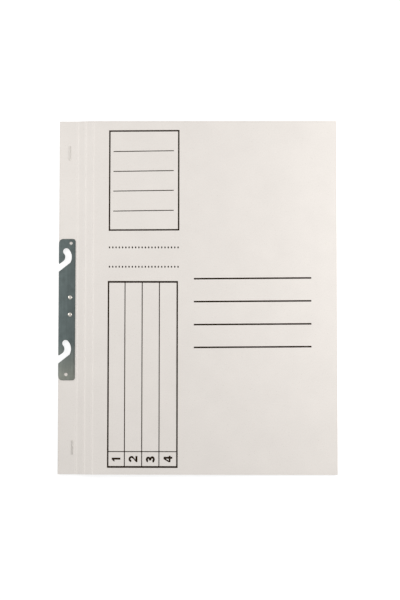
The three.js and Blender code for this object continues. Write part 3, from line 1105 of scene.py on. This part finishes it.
    def _shell(self, section: Sequence[Station], wavy: bool) -> Shell:
        """Runs a section up the page.

        Args:
            section: Points of the outer and of the inner face, in pairs.
            wavy: Whether the front cover's wave is added.

        Returns:
            The closed shell.
        """
        shell = Shell()
        rows = math.ceil(FILE_HEIGHT / self.row_step)
        grid: list[tuple[list[int], list[int]]] = []
        for (outer_x, outer_z), (inner_x, inner_z) in section:
            outside, inside = [], []
            for row in range(rows + 1):
                y = FILE_HEIGHT * row / rows
                lift = self.stretch_wave(outer_x, y) if wavy else 0.0
                outside.append(shell.point(outer_x, y, outer_z + lift))
                inside.append(shell.point(inner_x, y, inner_z + lift))
            grid.append((outside, inside))
        outer, inner, edge = (side.value for side in Side)
        for (outside, inside), (next_outside, next_inside) in zip(grid, grid[1:]):
            for row in range(rows):
                up = row + 1
                shell.face((outside[row], next_outside[row], next_outside[up], outside[up]), slot=outer)
                shell.face((inside[up], next_inside[up], next_inside[row], inside[row]), slot=inner)
            shell.face((inside[0], next_inside[0], next_outside[0], outside[0]), slot=edge)
            shell.face((outside[-1], next_outside[-1], next_inside[-1], inside[-1]), slot=edge)
        (outside, inside), (last_outside, last_inside) = grid[0], grid[-1]
        for row in range(rows):
            up = row + 1
            shell.face((outside[row], outside[up], inside[up], inside[row]), slot=edge)
            shell.face((last_inside[row], last_inside[up], last_outside[up], last_outside[row]), slot=edge)
        return shell

    def _cut_notches(self, sheet: bpy.types.Object, edge: bpy.types.Material) -> None:
        """Cuts the sheet away behind the hook slots and round the rivets' shanks.

        Args:
            sheet: The back part of the sheet.
            edge: The material of the cut edges.
        """
        cutter = Shell()
        through = [(0.0, level) for level in self.cutter_levels]
        for eye in self.hook_eyes:
            top = eye + self.eye_radius + self.notch_margin
            bottom = eye - self.mouth_floor_below_eye - self.notch_margin
            notch = rounded_rectangle(self.cutter_left, bottom, self.notch_right, top, self.notch_corner)
            cutter.plate([notch], through)
        for rivet in RIVETS:
            cutter.plate([circle(node_centre(rivet), RIVET_HOLE)], through)
        tool = cutter.piece("notch_cutter", [edge])
        modifier = sheet.modifiers.new("notches", "BOOLEAN")
        modifier.object = tool
        modifier.operation = "DIFFERENCE"
        modifier.solver = "EXACT"
        modifier.material_mode = "TRANSFER"
        apply_modifiers(sheet, self.sharp_deg)
        bpy.data.objects.remove(tool)

    def _keep_place(self, sheet: bpy.types.Object) -> None:
        """Stores where each vertex lies in the sheet, for patterns that stay with it when it bends.

        Args:
            sheet: The part of the sheet.
        """
        middle = (self.margin_top + self.back_under) / 2 * MM
        stored = sheet.data.attributes.new(REST_PLACE, "FLOAT_VECTOR", "POINT")
        values: list[float] = []
        for vertex in sheet.data.vertices:
            x, y, z = vertex.co
            below = sheet.name == "cover_sheet_back" and z < middle
            values += [x, y, self.underside_shift if below else 0.0]
        stored.data.foreach_set("vector", values)

    def build(self, outer: BoardFinish, inner: BoardFinish, edge: BoardFinish) -> Pieces:
        """Builds the sheet in four parts: the back, fixed to its body, and three that each span one crease
        and stay where they are built.

        Args:
            outer: The outer face's finish.
            inner: The inner face's finish.
            edge: The cut edges' finish.

        Returns:
            The four parts.
        """
        materials = [finish.material() for finish in (outer, inner, edge)]
        first, second, third = self.creases
        open_edge = (FILE_WIDTH, self.open_edge_top)
        near_half, far_half = (0.0, 0.5), (0.5, 1.0)
        margin = self._margin(self._seam_share(), 1.0) + self._strip(first, second, near_half)[1:]
        spine = self._strip(first, second, far_half) + self._strip(second, third, near_half)[1:]
        front = self._strip(second, third, far_half)
        front += self._stretch(third, open_edge, (True, False), self.coarse_step)[1:]
        parts = [
            ("cover_sheet_back", self._back_section(), "back_cover", ("back",)),
            ("cover_sheet_margin", margin, "spine_strip_1", ("back", "spine_1")),
            ("cover_sheet_spine", spine, "spine_strip_2", ("spine_1", "spine_2")),
            ("cover_sheet_front", front, "front_cover", ("spine_2", "cover")),
        ]
        made: Pieces = []
        for crease, (name, section, node, bodies) in enumerate(parts, -1):
            sheet = self._shell(section, name == "cover_sheet_front").piece(name, materials, self.sharp_deg)
            if name == "cover_sheet_back":
                self._cut_notches(sheet, materials[Side.EDGE.value])
            self._keep_place(sheet)
            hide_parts(node)
            if len(bodies) == 1:
                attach(sheet, *bodies)
            else:
                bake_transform(sheet)
            made.append(sheet)
        return made


@dataclass
class HangingRail:
    """Flat steel plate with two curved hook slots that open through its spine edge.

    Each slot is given by how far its arc's centre lies from the spine edge and how high its eye is.
    Its arc runs from start_deg, at the eye, to end_deg, where the straight mouth begins.
    """

    edge_round: float = 0.2
    corner: float = 2.4
    spine_corner: float = 3.8
    slot_radius: float = 7.28
    slot_width: float = 5.65
    start_deg: float = 42.0
    end_deg: float = -52.0
    mouth_width: float = 4.85
    tooth: float = 1.7
    slots: tuple[Point, Point] = ((0.85, 112.3), (1.1, 191.7))
    pilots: tuple[Point, Point] = ((10.5, 198.8), (6.7, 85.5))
    pilot_radii: Point = (1.4, 1.5)
    bend_steps: int = 26
    eye_steps: int = 24
    inner_steps: int = 18
    tooth_steps: int = 6

    def _slot(self, centre_x: float, eye_y: float) -> Outline:
        """One slot's outline from the floor of its mouth to the tooth above it.

        Args:
            centre_x: How far its arc's centre is from the spine edge.
            eye_y: Height of its eye on the page.

        Returns:
            The points, starting and ending on the spine edge.
        """
        centre = (centre_x, eye_y - self.slot_radius * math.sin(math.radians(self.start_deg)))
        inner, outer = self.slot_radius - self.slot_width / 2, self.slot_radius + self.slot_width / 2
        end = math.radians(self.end_deg)
        line = inner + self.mouth_width
        floor_y = centre[1] + (line + centre[0] * math.cos(end)) / math.sin(end)
        roof_y = centre[1] + (inner + centre[0] * math.cos(end)) / math.sin(end)
        bend_start = self.end_deg + math.degrees(math.acos(line / outer))
        eye = arc(centre, self.slot_radius, self.start_deg, self.start_deg, 1)[0]
        points = [(0.0, floor_y)]
        points += arc(centre, outer, bend_start, self.start_deg, self.bend_steps)
        points += arc(eye, self.slot_width / 2, self.start_deg, self.start_deg + 180, self.eye_steps)[1:]
        points += arc(centre, inner, self.start_deg, self.end_deg, self.inner_steps)[1:]
        base, tip = Vector(points[-1]), Vector((0.0, roof_y))
        before = tip + (base - tip).normalized() * self.tooth
        after = tip + Vector((0.0, self.tooth))
        for step in range(self.tooth_steps + 1):
            share = step / self.tooth_steps
            spot = before * (1 - share) ** 2 + tip * 2 * share * (1 - share) + after * share * share
            points.append((spot.x, spot.y))
        return points

    def build(self, finish: MetalFinish, edge: MetalFinish) -> Pieces:
        """Builds the rail.

        Args:
            finish: Its faces' finish.
            edge: The finish of its sheared edges, dark partly with painted shade.

        Returns:
            The rail.
        """
        low, high = node_box("hanging_rail")
        inner, outer = self.corner, self.spine_corner
        outline = arc((high.x - inner, high.y - inner), inner, 90, 0, CORNER_STEPS)
        outline += arc((high.x - inner, low.y + inner), inner, 0, -90, CORNER_STEPS)
        outline += arc((outer, low.y + outer), outer, -90, -180, CORNER_STEPS)
        for centre_x, eye_y in self.slots:
            outline += self._slot(centre_x, eye_y)
        outline += arc((outer, high.y - outer), outer, 180, 90, CORNER_STEPS)
        holes = [circle(pilot, radius) for pilot, radius in zip(self.pilots, self.pilot_radii)]
        holes += [circle(node_centre(rivet), RIVET_HOLE) for rivet in RIVETS]
        shell = Shell()
        # The outline's walls, slots included, take the edge finish, whose dark colour is partly painted
        # shade.
        shell.plate([outline, *holes], rounded_edge(low.z, high.z, self.edge_round), edge_slot=1)
        rail = shell.piece("hook_rail", [finish.material(), edge.material()])
        settle(rail, "back", "hanging_rail")
        return [rail]


@dataclass
class Rivets:
    """Hollow rivets with domed heads, rolled over on the back cover. Sizes across are radii."""

    bore: float = 0.55
    bore_depth: float = 1.3
    bore_floor: float = 0.385
    bore_slope: float = 0.15
    shank: float = 1.0
    tail: float = 0.5
    lip_above_roll: float = 0.1
    head: float = 1.75
    brim: float = 0.1
    brim_step_in: float = 0.08
    brim_step_up: float = 0.06
    dome_power: float = 0.85
    lip_steps: int = 6
    roll_steps: int = 10
    dome_steps: int = 12
    turn_steps: int = 56
    sharp_deg: float = 60.0

    def _profile(self, low: Vector, high: Vector, seat: float) -> Outline:
        """Half section of a rivet, from the bottom of its bore to its crown.

        Args:
            low: The rivet's lowest corner.
            high: Its highest corner.
            seat: Height of the face that its head lies on.

        Returns:
            Radius and height of each point.
        """
        roll = self.tail / 2
        tail_radius = (high.x - low.x) / 2
        lip = roll + self.lip_above_roll
        profile: Outline = [(0.0, self.bore_depth), (self.bore_floor, self.bore_depth)]
        profile += [(self.bore, self.bore_depth - self.bore_slope), (self.bore, lip)]
        profile += arc((self.bore + lip, lip), lip, 180, 270, self.lip_steps)[1:]
        profile += arc((tail_radius - roll, roll), roll, -90, 90, self.roll_steps)
        profile += [(self.shank, self.tail), (self.shank, seat), (self.head - self.brim_step_in, seat)]
        profile += [(self.head, seat + self.brim_step_up), (self.head, seat + self.brim)]
        rise = high.z - seat - self.brim
        for i in range(1, self.dome_steps):
            angle = math.pi / 2 * i / self.dome_steps
            radius = self.head * math.cos(angle) ** self.dome_power
            profile.append((radius, seat + self.brim + rise * math.sin(angle)))
        return profile + [(0.0, high.z)]

    def build(self, finish: MetalFinish) -> Pieces:
        """Builds both rivets.

        Args:
            finish: Their finish.

        Returns:
            The rivets.
        """
        material = finish.material()
        seat = node_box("hanging_rail")[1].z
        made: Pieces = []
        for node in RIVETS:
            shell = Shell()
            shell.lathe(node_centre(node), self._profile(*node_box(node), seat), self.turn_steps)
            rivet = shell.piece(node.replace("rivet", "domed_rivet"), [material], self.sharp_deg)
            settle(rivet, "back", node)
            made.append(rivet)
        return made


@dataclass
class Staples:
    """Flat wire staples, their legs folded inward on the back cover."""

    wire: float = 0.42
    crown_width: float = 0.85
    upper_shift: float = 0.43
    lower_shift: float = 0.28
    bend: float = 0.22
    corner: float = 0.14
    leg_end: float = 1.5
    steps: int = 6
    sharp_deg: float = 60.0

    def _turn(self, centre: Point, radius: float, start_deg: float) -> list[Place]:
        """A quarter bend of the wire's middle line.

        Args:
            centre: The bend's centre, in y and z.
            radius: Its radius.
            start_deg: Where it starts, in degrees.

        Returns:
            y, z and the angle in radians of the side away from the centre.
        """
        angles = [math.radians(start_deg + 90 * i / self.steps) for i in range(self.steps + 1)]
        return [(centre[0] + radius * math.cos(a), centre[1] + radius * math.sin(a), a) for a in angles]

    def _path(self, half_span: float, low: float, high: float) -> list[Place]:
        """Middle line of the bent wire, from the tip of one leg to the tip of the other.

        Args:
            half_span: Half the staple's outer length.
            low: Its lowest point.
            high: Its highest point.

        Returns:
            y, z and the angle in radians of the side away from the staple's inside.
        """
        radius = self.bend + self.wire / 2
        side = half_span - self.wire / 2 - radius
        top, bottom = high - self.wire / 2 - radius, low + self.wire / 2 + radius
        path = [(self.leg_end, low + self.wire / 2, -math.pi / 2)]
        path += self._turn((side, bottom), radius, -90)
        path += self._turn((side, top), radius, 0)
        path.append((0.0, high - self.wire / 2, math.pi / 2))
        path += self._turn((-side, top), radius, 90)
        path += self._turn((-side, bottom), radius, 180)
        path.append((-self.leg_end, low + self.wire / 2, 1.5 * math.pi))
        return path

    def build(self, finish: MetalFinish) -> Pieces:
        """Builds both staples.

        Args:
            finish: Their finish.

        Returns:
            The staples.
        """
        material = finish.material()
        half_wide, half_thick = self.crown_width / 2, self.wire / 2
        profile = rounded_rectangle(-half_wide, -half_thick, half_wide, half_thick, self.corner)
        made: Pieces = []
        for node, shift in (("staple_upper", self.upper_shift), ("staple_lower", self.lower_shift)):
            low, high = node_box(node)
            centre_x, centre_y = node_centre(node)
            centre_x += shift
            shell = Shell()
            rings = []
            for y, z, angle in self._path((high.y - low.y) / 2, low.z, high.z):
                out_y, out_z = math.cos(angle), math.sin(angle)
                rings.append([shell.point(centre_x + u, centre_y + y + v * out_y, z + v * out_z)
                              for u, v in profile])
            for here, there in zip(rings, rings[1:]):
                shell.wall(here, there)
            shell.face(rings[0][::-1], flat=True)
            shell.face(rings[-1], flat=True)
            staple = shell.piece(node.replace("staple", "wire_staple"), [material], self.sharp_deg)
            settle(staple, "back", node)
            made.append(staple)
        return made


@dataclass
class Fastener:
    """Prong fastener, compressor bar, keepers and the carrier strip that clamps them."""

    edge_round: float = 0.05
    edge_segments: int = 2
    edge_from_deg: float = 50.0
    weld_within: float = 0.002
    flat_within: float = 0.9998
    sharp_deg: float = 30.0

    def _refine(self, source: bpy.types.Object, name: str, material: bpy.types.Material,
                metal: bool) -> bpy.types.Object:
        """Copies a CAD node, rounds its edges finely if it is metal, and gives it its finish.

        Args:
            source: The CAD node.
            name: The new piece's name.
            material: Its material.
            metal: Whether its edges are rounded.

        Returns:
            The new piece.
        """
        mesh = source.data.copy()
        mesh.name = name
        mesh.materials.clear()
        mesh.materials.append(material)
        mesh.polygons.foreach_set("material_index", [0] * len(mesh.polygons))
        piece = add_to_scene(name, mesh)
        weld = piece.modifiers.new("weld", "WELD")
        weld.merge_threshold = self.weld_within * MM
        if metal:
            bevel = piece.modifiers.new("edges", "BEVEL")
            bevel.width = self.edge_round * MM
            bevel.segments = self.edge_segments
            bevel.limit_method = "ANGLE"
            bevel.angle_limit = math.radians(self.edge_from_deg)
        apply_modifiers(piece, self.sharp_deg)
        flat = [max(abs(part) for part in face.normal) > self.flat_within for face in piece.data.polygons]
        piece.data.polygons.foreach_set("use_smooth", [not level for level in flat])
        stored = piece.data.attributes.new(REST_PLACE, "FLOAT_VECTOR", "POINT")
        stored.data.foreach_set("vector", [value for vertex in piece.data.vertices for value in vertex.co])
        return piece

    def build(self, nodes: dict, metal: MetalFinish, board: BoardFinish) -> Pieces:
        """Builds the fastener's pieces.

        Args:
            nodes: The frame's CAD nodes.
            metal: The tinned strip's finish.
            board: The carrier strip's finish.

        Returns:
            The pieces.
        """
        tinned, pulp = metal.material(), board.material()
        pieces = {
            "prong_fastener": ("folded_prongs", "back"),
            "compressor_bar": ("channel_bar", "back"),
            "keeper_upper": ("upper_slider", "upper_keeper"),
            "keeper_lower": ("lower_slider", "lower_keeper"),
            "carrier_strip": ("grey_strip", "back"),
        }
        made: Pieces = []
        for node, (name, body) in pieces.items():
            is_metal = node != "carrier_strip"
            piece = self._refine(nodes[node], name, tinned if is_metal else pulp, is_metal)
            settle(piece, body, node)
            made.append(piece)
        return made


@dataclass
class PrintedForm:
    """Form printed on the front cover: label box, dotted lines, index table and title lines.

    The label box and the table are given by their left, bottom, right and top. A rule is a line's
    thickness, and a tilt is how far its right end goes up.
    """

    sheet: CoverSheet
    thickness: float = 0.03
    straight_share: float = 0.6
    edge_in: float = 0.02
    longest_side: float = 5.0
    label: tuple[float, float, float, float] = (43.23, 209.55, 104.27, 297.1)
    label_side: float = 1.26
    label_end: float = 1.32
    label_tilt_deg: float = 0.3
    label_lines: tuple[float, ...] = (278.77, 261.43, 244.27, 226.9)
    label_span: Point = (47.1, 99.4)
    label_line_rule: float = 0.74
    label_line_tilt_deg: float = 0.78
    dotted_rows: Point = (195.05, 178.3)
    dotted_span: Point = (44.03, 103.2)
    dots: int = 22
    dot_half_width: float = 0.62
    dot_half_height: float = 0.88
    dot_steps: int = 16
    table: tuple[float, float, float, float] = (42.67, 5.76, 103.2, 166.01)
    table_side: float = 1.28
    table_end: float = 1.56
    columns: tuple[float, ...] = (57.56, 72.37, 87.19)
    column_rule: float = 0.8
    divider: float = 19.6
    divider_rule: float = 0.74
    title_lines: tuple[float, ...] = (168.37, 148.6, 128.8, 109.2)
    title_span: Point = (116.9, 218.0)
    title_rule: float = 1.36
    title_tilt_deg: float = 0.44
    digit_places: tuple[Point, ...] = ((50.46, 12.87), (64.95, 13.25), (79.8, 12.93), (94.92, 13.37))
    digit_height: float = 7.45
    digit_width: float = 5.25
    stroke: float = 1.68
    bowl_steps: int = 18

    def _levels(self) -> list[Point]:
        """Steps of the ink's edge, from inside the board to its upper face."""
        shoulder = self.thickness * self.straight_share
        return [(0.0, -self.thickness), (0.0, shoulder), (self.edge_in, self.thickness)]

    def _tilted(self, outline: Outline, middle: float, tilt_deg: float) -> Outline:
        """Tilts an outline a little, since the form isn't printed quite straight.

        Args:
            outline: The outline.
            middle: Where, across the page, it keeps its height.
            tilt_deg: How far its right end goes up.

        Returns:
            The tilted outline.
        """
        slope = math.tan(math.radians(tilt_deg))
        return [(x, y + (x - middle) * slope) for x, y in outline]

    def _frame(self, shell: Shell, box: Sequence[float], side: float, end: float,
               tilt_deg: float = 0.0) -> None:
        """Adds a rectangular frame.

        Args:
            shell: The shell to add to.
            box: Its left, bottom, right and top, on the outside.
            side: How thick its upright bars are.
            end: How thick its level bars are.
            tilt_deg: How far the right ends of its level bars go up.
        """
        left, bottom, right, top = box
        middle = (left + right) / 2
        outer = self._tilted(rectangle(left, bottom, right, top), middle, tilt_deg)
        inner = rectangle(left + side, bottom + end, right - side, top - end)
        shell.plate([outer, self._tilted(inner, middle, tilt_deg)], self._levels(), self.longest_side)

    def _bar(self, shell: Shell, left: float, bottom: float, right: float, top: float) -> None:
        """Adds a straight bar."""
        shell.plate([rectangle(left, bottom, right, top)], self._levels(), self.longest_side)

    def _line(self, shell: Shell, span: Point, y: float, width: float, tilt_deg: float) -> None:
        """Adds a line across the page.

        Args:
            shell: The shell to add to.
            span: Where it starts and ends.
            y: Height of its middle on the page.
            width: Its thickness.
            tilt_deg: How far its right end goes up.
        """
        outline = rectangle(span[0], y - width / 2, span[1], y + width / 2)
        shell.plate([self._tilted(outline, sum(span) / 2, tilt_deg)], self._levels(), self.longest_side)

    def _label_box(self, shell: Shell) -> None:
        """Adds the label box with its four lines.

        Args:
            shell: The shell to add to.
        """
        self._frame(shell, self.label, self.label_side, self.label_end, self.label_tilt_deg)
        for y in self.label_lines:
            self._line(shell, self.label_span, y, self.label_line_rule, self.label_line_tilt_deg)

    def _dotted_lines(self, shell: Shell) -> None:
        """Adds the two dotted lines.

        Args:
            shell: The shell to add to.
        """
        start, end = self.dotted_span
        round_dot = circle((0.0, 0.0), 1.0, self.dot_steps)
        for y in self.dotted_rows:
            for i in range(self.dots):
                x = start + (end - start) * i / (self.dots - 1)
                dot = [(x + u * self.dot_half_width, y + v * self.dot_half_height) for u, v in round_dot]
                shell.plate([dot], self._levels())

    def _index_table(self, shell: Shell) -> None:
        """Adds the index table with its columns and its foot.

        Args:
            shell: The shell to add to.
        """
        side, end, half = self.table_side, self.table_end, self.column_rule / 2
        self._frame(shell, self.table, side, end)
        left, bottom, right, top = self.table
        low, high = self.divider - self.divider_rule / 2, self.divider + self.divider_rule / 2
        self._bar(shell, left + side, low, right - side, high)
        for x in self.columns:
            self._bar(shell, x - half, bottom + end, x + half, low)
            self._bar(shell, x - half, high, x + half, top - end)

    def _title_lines(self, shell: Shell) -> None:
        """Adds the four title lines."""
        for y in self.title_lines:
            self._line(shell, self.title_span, y, self.title_rule, self.title_tilt_deg)

    def _one(self) -> list[Outline]:
        """Outline of the digit 1: a stem with a flag.

        Returns:
            The outline, in a list.
        """
        top, right = self.digit_height, 3.1
        left = right - self.stroke
        return [[(left, 0.0), (right, 0.0), (right, top), (left + 0.25, top), (left - 0.35, top - 0.75),
                 (0.0, top - 1.45), (0.0, top - 2.75), (left, top - 2.05)]]

    def _two(self) -> list[Outline]:
        """Outline of the digit 2: a hook, a diagonal and a flat foot.

        Returns:
            The outline, in a list.
        """
        top, wide, stroke = self.digit_height + 0.15, self.digit_width, self.stroke
        centre = (wide / 2, top - wide / 2)
        outside = arc(centre, wide / 2, 172, -28, 18)
        inside = arc(centre, wide / 2 - stroke, 172, -22, 14)
        foot = [(3.9, 2.95), (2.15, stroke), (wide, stroke), (wide, 0.0), (0.0, 0.0), (0.0, 1.0)]
        neck = [(1.15, 2.1), (2.7, 3.4)]
        return [outside + foot + neck + inside[::-1]]

    def _bowl(self, centre: Point, radius: float, wide: float, start: float, end: float) -> Outline:
        """One bowl's edge, wider than it is high by a factor."""
        round_edge = arc(centre, radius, start, end, self.bowl_steps)
        return [(centre[0] + (x - centre[0]) * wide, y) for x, y in round_edge]

    def _three(self) -> list[Outline]:
        """Outline of the digit 3: two bowls that meet at a waist.

        Returns:
            The outline, in a list.
        """
        top, wide, stroke = self.digit_height + 0.2, self.digit_width, self.stroke
        lower, upper = top * 0.285, top * 0.265
        low_x, high_x = wide - lower - 0.35, wide - upper - 0.5
        outline = self._bowl((high_x, top - upper), upper, 1.2, 168, -52)
        outline += self._bowl((low_x, lower), lower, 1.28, 52, -168)
        inner_low, inner_high = lower - stroke + 0.15, upper - stroke + 0.15
        outline += self._bowl((low_x, stroke + inner_low), inner_low, 1.3, -168, 88)
        waist_x, waist_low = wide * 0.36, stroke + 2 * inner_low + 0.02
        outline += [(waist_x, waist_low), (waist_x, top - stroke - 2 * inner_high - 0.02)]
        return [outline + self._bowl((high_x, top - stroke - inner_high), inner_high, 1.22, -88, 168)]

    def _four(self) -> list[Outline]:
        """Outlines of the digit 4: a closed triangle on a stem.

        Returns:
            The outer outline and that of the hole.
        """
        top, wide, stroke = self.digit_height, self.digit_width + 0.2, self.stroke
        right = wide - 0.85
        left = right - stroke
        low, high = 1.55, 1.55 + stroke * 0.9
        outer = [(left, 0.0), (right, 0.0), (right, low), (wide, low), (wide, high), (right, high),
                 (right, top), (left - 0.35, top), (0.0, high + 0.15), (0.0, low), (left, low)]
        hole = [(1.25, high), (left, high), (left, top - 1.85)]
        return [outer, hole]

    def _digits(self, shell: Shell) -> None:
        """Adds the digits 1 to 4, lying on their left sides with their tops to the spine.

        Args:
            shell: The shell to add to.
        """
        digits = (self._one(), self._two(), self._three(), self._four())
        for (x, y), outlines in zip(self.digit_places, digits):
            us = [u for u, _ in outlines[0]]
            vs = [v for _, v in outlines[0]]
            middle_u, middle_v = (min(us) + max(us)) / 2, (min(vs) + max(vs)) / 2
            lying = [[(x - (v - middle_v), y + (u - middle_u)) for u, v in outline] for outline in outlines]
            shell.plate(lying, self._levels())

    def build(self, finish: InkFinish) -> Pieces:
        """Builds each group of the print as one piece on the front cover.

        Args:
            finish: The ink.

        Returns:
            The groups.
        """
        material = finish.material()
        groups = {
            "print_label_box": self._label_box,
            "print_dotted_lines": self._dotted_lines,
            "print_index_table": self._index_table,
            "print_digits": self._digits,
            "print_title_lines": self._title_lines,
        }
        made: Pieces = []
        for name, draw in groups.items():
            shell = Shell(self.sheet.on_cover)
            draw(shell)
            group = shell.piece(name, [material])
            settle(group, "cover")
            made.append(group)
        return made


@dataclass(frozen=True)
class Lamp:
    """A square soft lamp that points at the file."""

    name: str
    place: Place
    power: float
    size: float = 0.3


@dataclass
class Studio:
    """White ground, weak even sky, a soft lamp on either side, and the photo's camera."""

    aim: Place = (0.00213, -0.00276, 0.0)
    distance: float = 1.0
    tilt_x_deg: float = 1.116
    tilt_y_deg: float = 2.666
    roll_deg: float = 0.064
    lens: float = 69.49
    sensor: float = 36.0
    ground_reach: float = 4.0
    ground_below: float = 0.03
    sky: float = 0.564
    lamps: tuple[Lamp, ...] = (
        Lamp("left_lamp", (-0.45, 0.15, 0.25), 0.825),
        Lamp("right_lamp", (0.5, 0.1, 0.25), 1.9),
    )

    def _ground(self) -> None:
        """Adds the ground that the file lies on."""
        reach, depth = self.ground_reach, -self.ground_below * MM
        mesh = bpy.data.meshes.new("ground")
        corners = [(x, y, depth) for x, y in rectangle(-reach, -reach, reach, reach)]
        mesh.from_pydata(corners, [], [(0, 1, 2, 3)])
        mesh.materials.append(FloorFinish().material())
        add_to_scene("ground", mesh)

    def _sky(self) -> None:
        """Sets an even white sky."""
        world = bpy.data.worlds.new("sky")
        world.use_nodes = True
        background = world.node_tree.nodes["Background"]
        background.inputs["Color"].default_value = (1.0, 1.0, 1.0, 1.0)
        background.inputs["Strength"].default_value = self.sky
        bpy.context.scene.world = world

    def _lamps(self) -> None:
        """Adds the soft lamps."""
        for lamp in self.lamps:
            light = bpy.data.lights.new(lamp.name, "AREA")
            light.energy = lamp.power
            light.size = lamp.size
            stand = add_to_scene(lamp.name, light)
            stand.location = lamp.place
            stand.rotation_euler = Vector(lamp.place).to_track_quat("Z", "Y").to_euler()

    def _camera(self) -> None:
        """Sets the camera where the photo's perspective puts it."""
        side = math.sin(math.radians(self.tilt_x_deg))
        down = -math.sin(math.radians(self.tilt_y_deg))
        away = Vector((side, down, math.sqrt(1 - side * side - down * down)))
        right = (-away).cross(Vector((0.0, 1.0, 0.0))).normalized()
        up = away.cross(right)
        roll = math.radians(self.roll_deg)
        across = right * math.cos(roll) + up * math.sin(roll)
        above = up * math.cos(roll) - right * math.sin(roll)
        turn = Matrix((across, above, away)).transposed().to_4x4()
        data = bpy.data.cameras.new("camera")
        data.lens = self.lens
        data.sensor_width = self.sensor
        camera = add_to_scene("camera", data)
        camera.matrix_world = Matrix.Translation(Vector(self.aim) + away * self.distance) @ turn
        bpy.context.scene.camera = camera

    def build(self) -> None:
        """Builds the surroundings."""
        self._ground()
        self._sky()
        self._lamps()
        self._camera()
        bpy.context.scene.view_settings.view_transform = "Standard"
        log.info("studio: camera %.2f m away, lens %.2f mm", self.distance, self.lens)


def main() -> None:
    """Loads the frame, builds every sub-assembly and its finish, and sets up the picture."""
    logging.basicConfig(level=logging.INFO, format="%(message)s")
    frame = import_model()
    sheet = CoverSheet()
    sheet.measure(frame["joints"])
    crease_lines = tuple(round(x, 3) for x, _ in sheet.creases)
    white = BoardFinish("board_outer", (237, 231, 225), creases_mm=crease_lines)
    inside = BoardFinish("board_inner", (228, 221, 211), cloud=0.025)
    torn = BoardFinish("board_edge", (214, 205, 192), grain=0.06, soiled_edge=0.0)
    pulp = BoardFinish("grey_board", (176, 166, 150), cloud=0.04, grain=0.07, speck=0.6, soiled_edge=0.0)
    # The rail's colour is lighter low on the page, a painted reflection that fades into the darker colour
    # above, and it carries painted shade towards its right side.
    rail = MetalFinish("rail_steel", (155, 159, 150), colour_above_painted_reflection=(113, 124, 123), roughness=0.42,
                       streak=0.08, painted_shade_across=0.12)
    # The dark colour of the rail's sheared edges is partly bare cut steel and partly painted shade along the
    # slots and the outline.
    sheared_edge_and_shade = MetalFinish("rail_sheared_edge_and_shade", (62, 66, 62), roughness=0.5)
    tinned = MetalFinish("tinned_steel", (212, 212, 208), roughness=0.3, bloom=0.05)
    nickel = MetalFinish("nickel", (236, 231, 222), roughness=0.27, stretch=(1.0, 1.0, 1.0))
    wire = MetalFinish("staple_wire", (230, 226, 220), roughness=0.38, stretch=(1.0, 0.1, 1.0))
    ink = InkFinish("black_ink", (38, 24, 5))

    pieces = sheet.build(white, inside, torn)
    pieces += HangingRail().build(rail, sheared_edge_and_shade)
    pieces += Rivets().build(nickel)
    pieces += Staples().build(wire)
    pieces += Fastener().build(frame["nodes"], tinned, pulp)
    pieces += PrintedForm(sheet).build(ink)
    for piece in pieces:
        log.info("%s: %d faces", piece.name, len(piece.data.polygons))
    Studio().build()


if __name__ == "__main__":
    main()
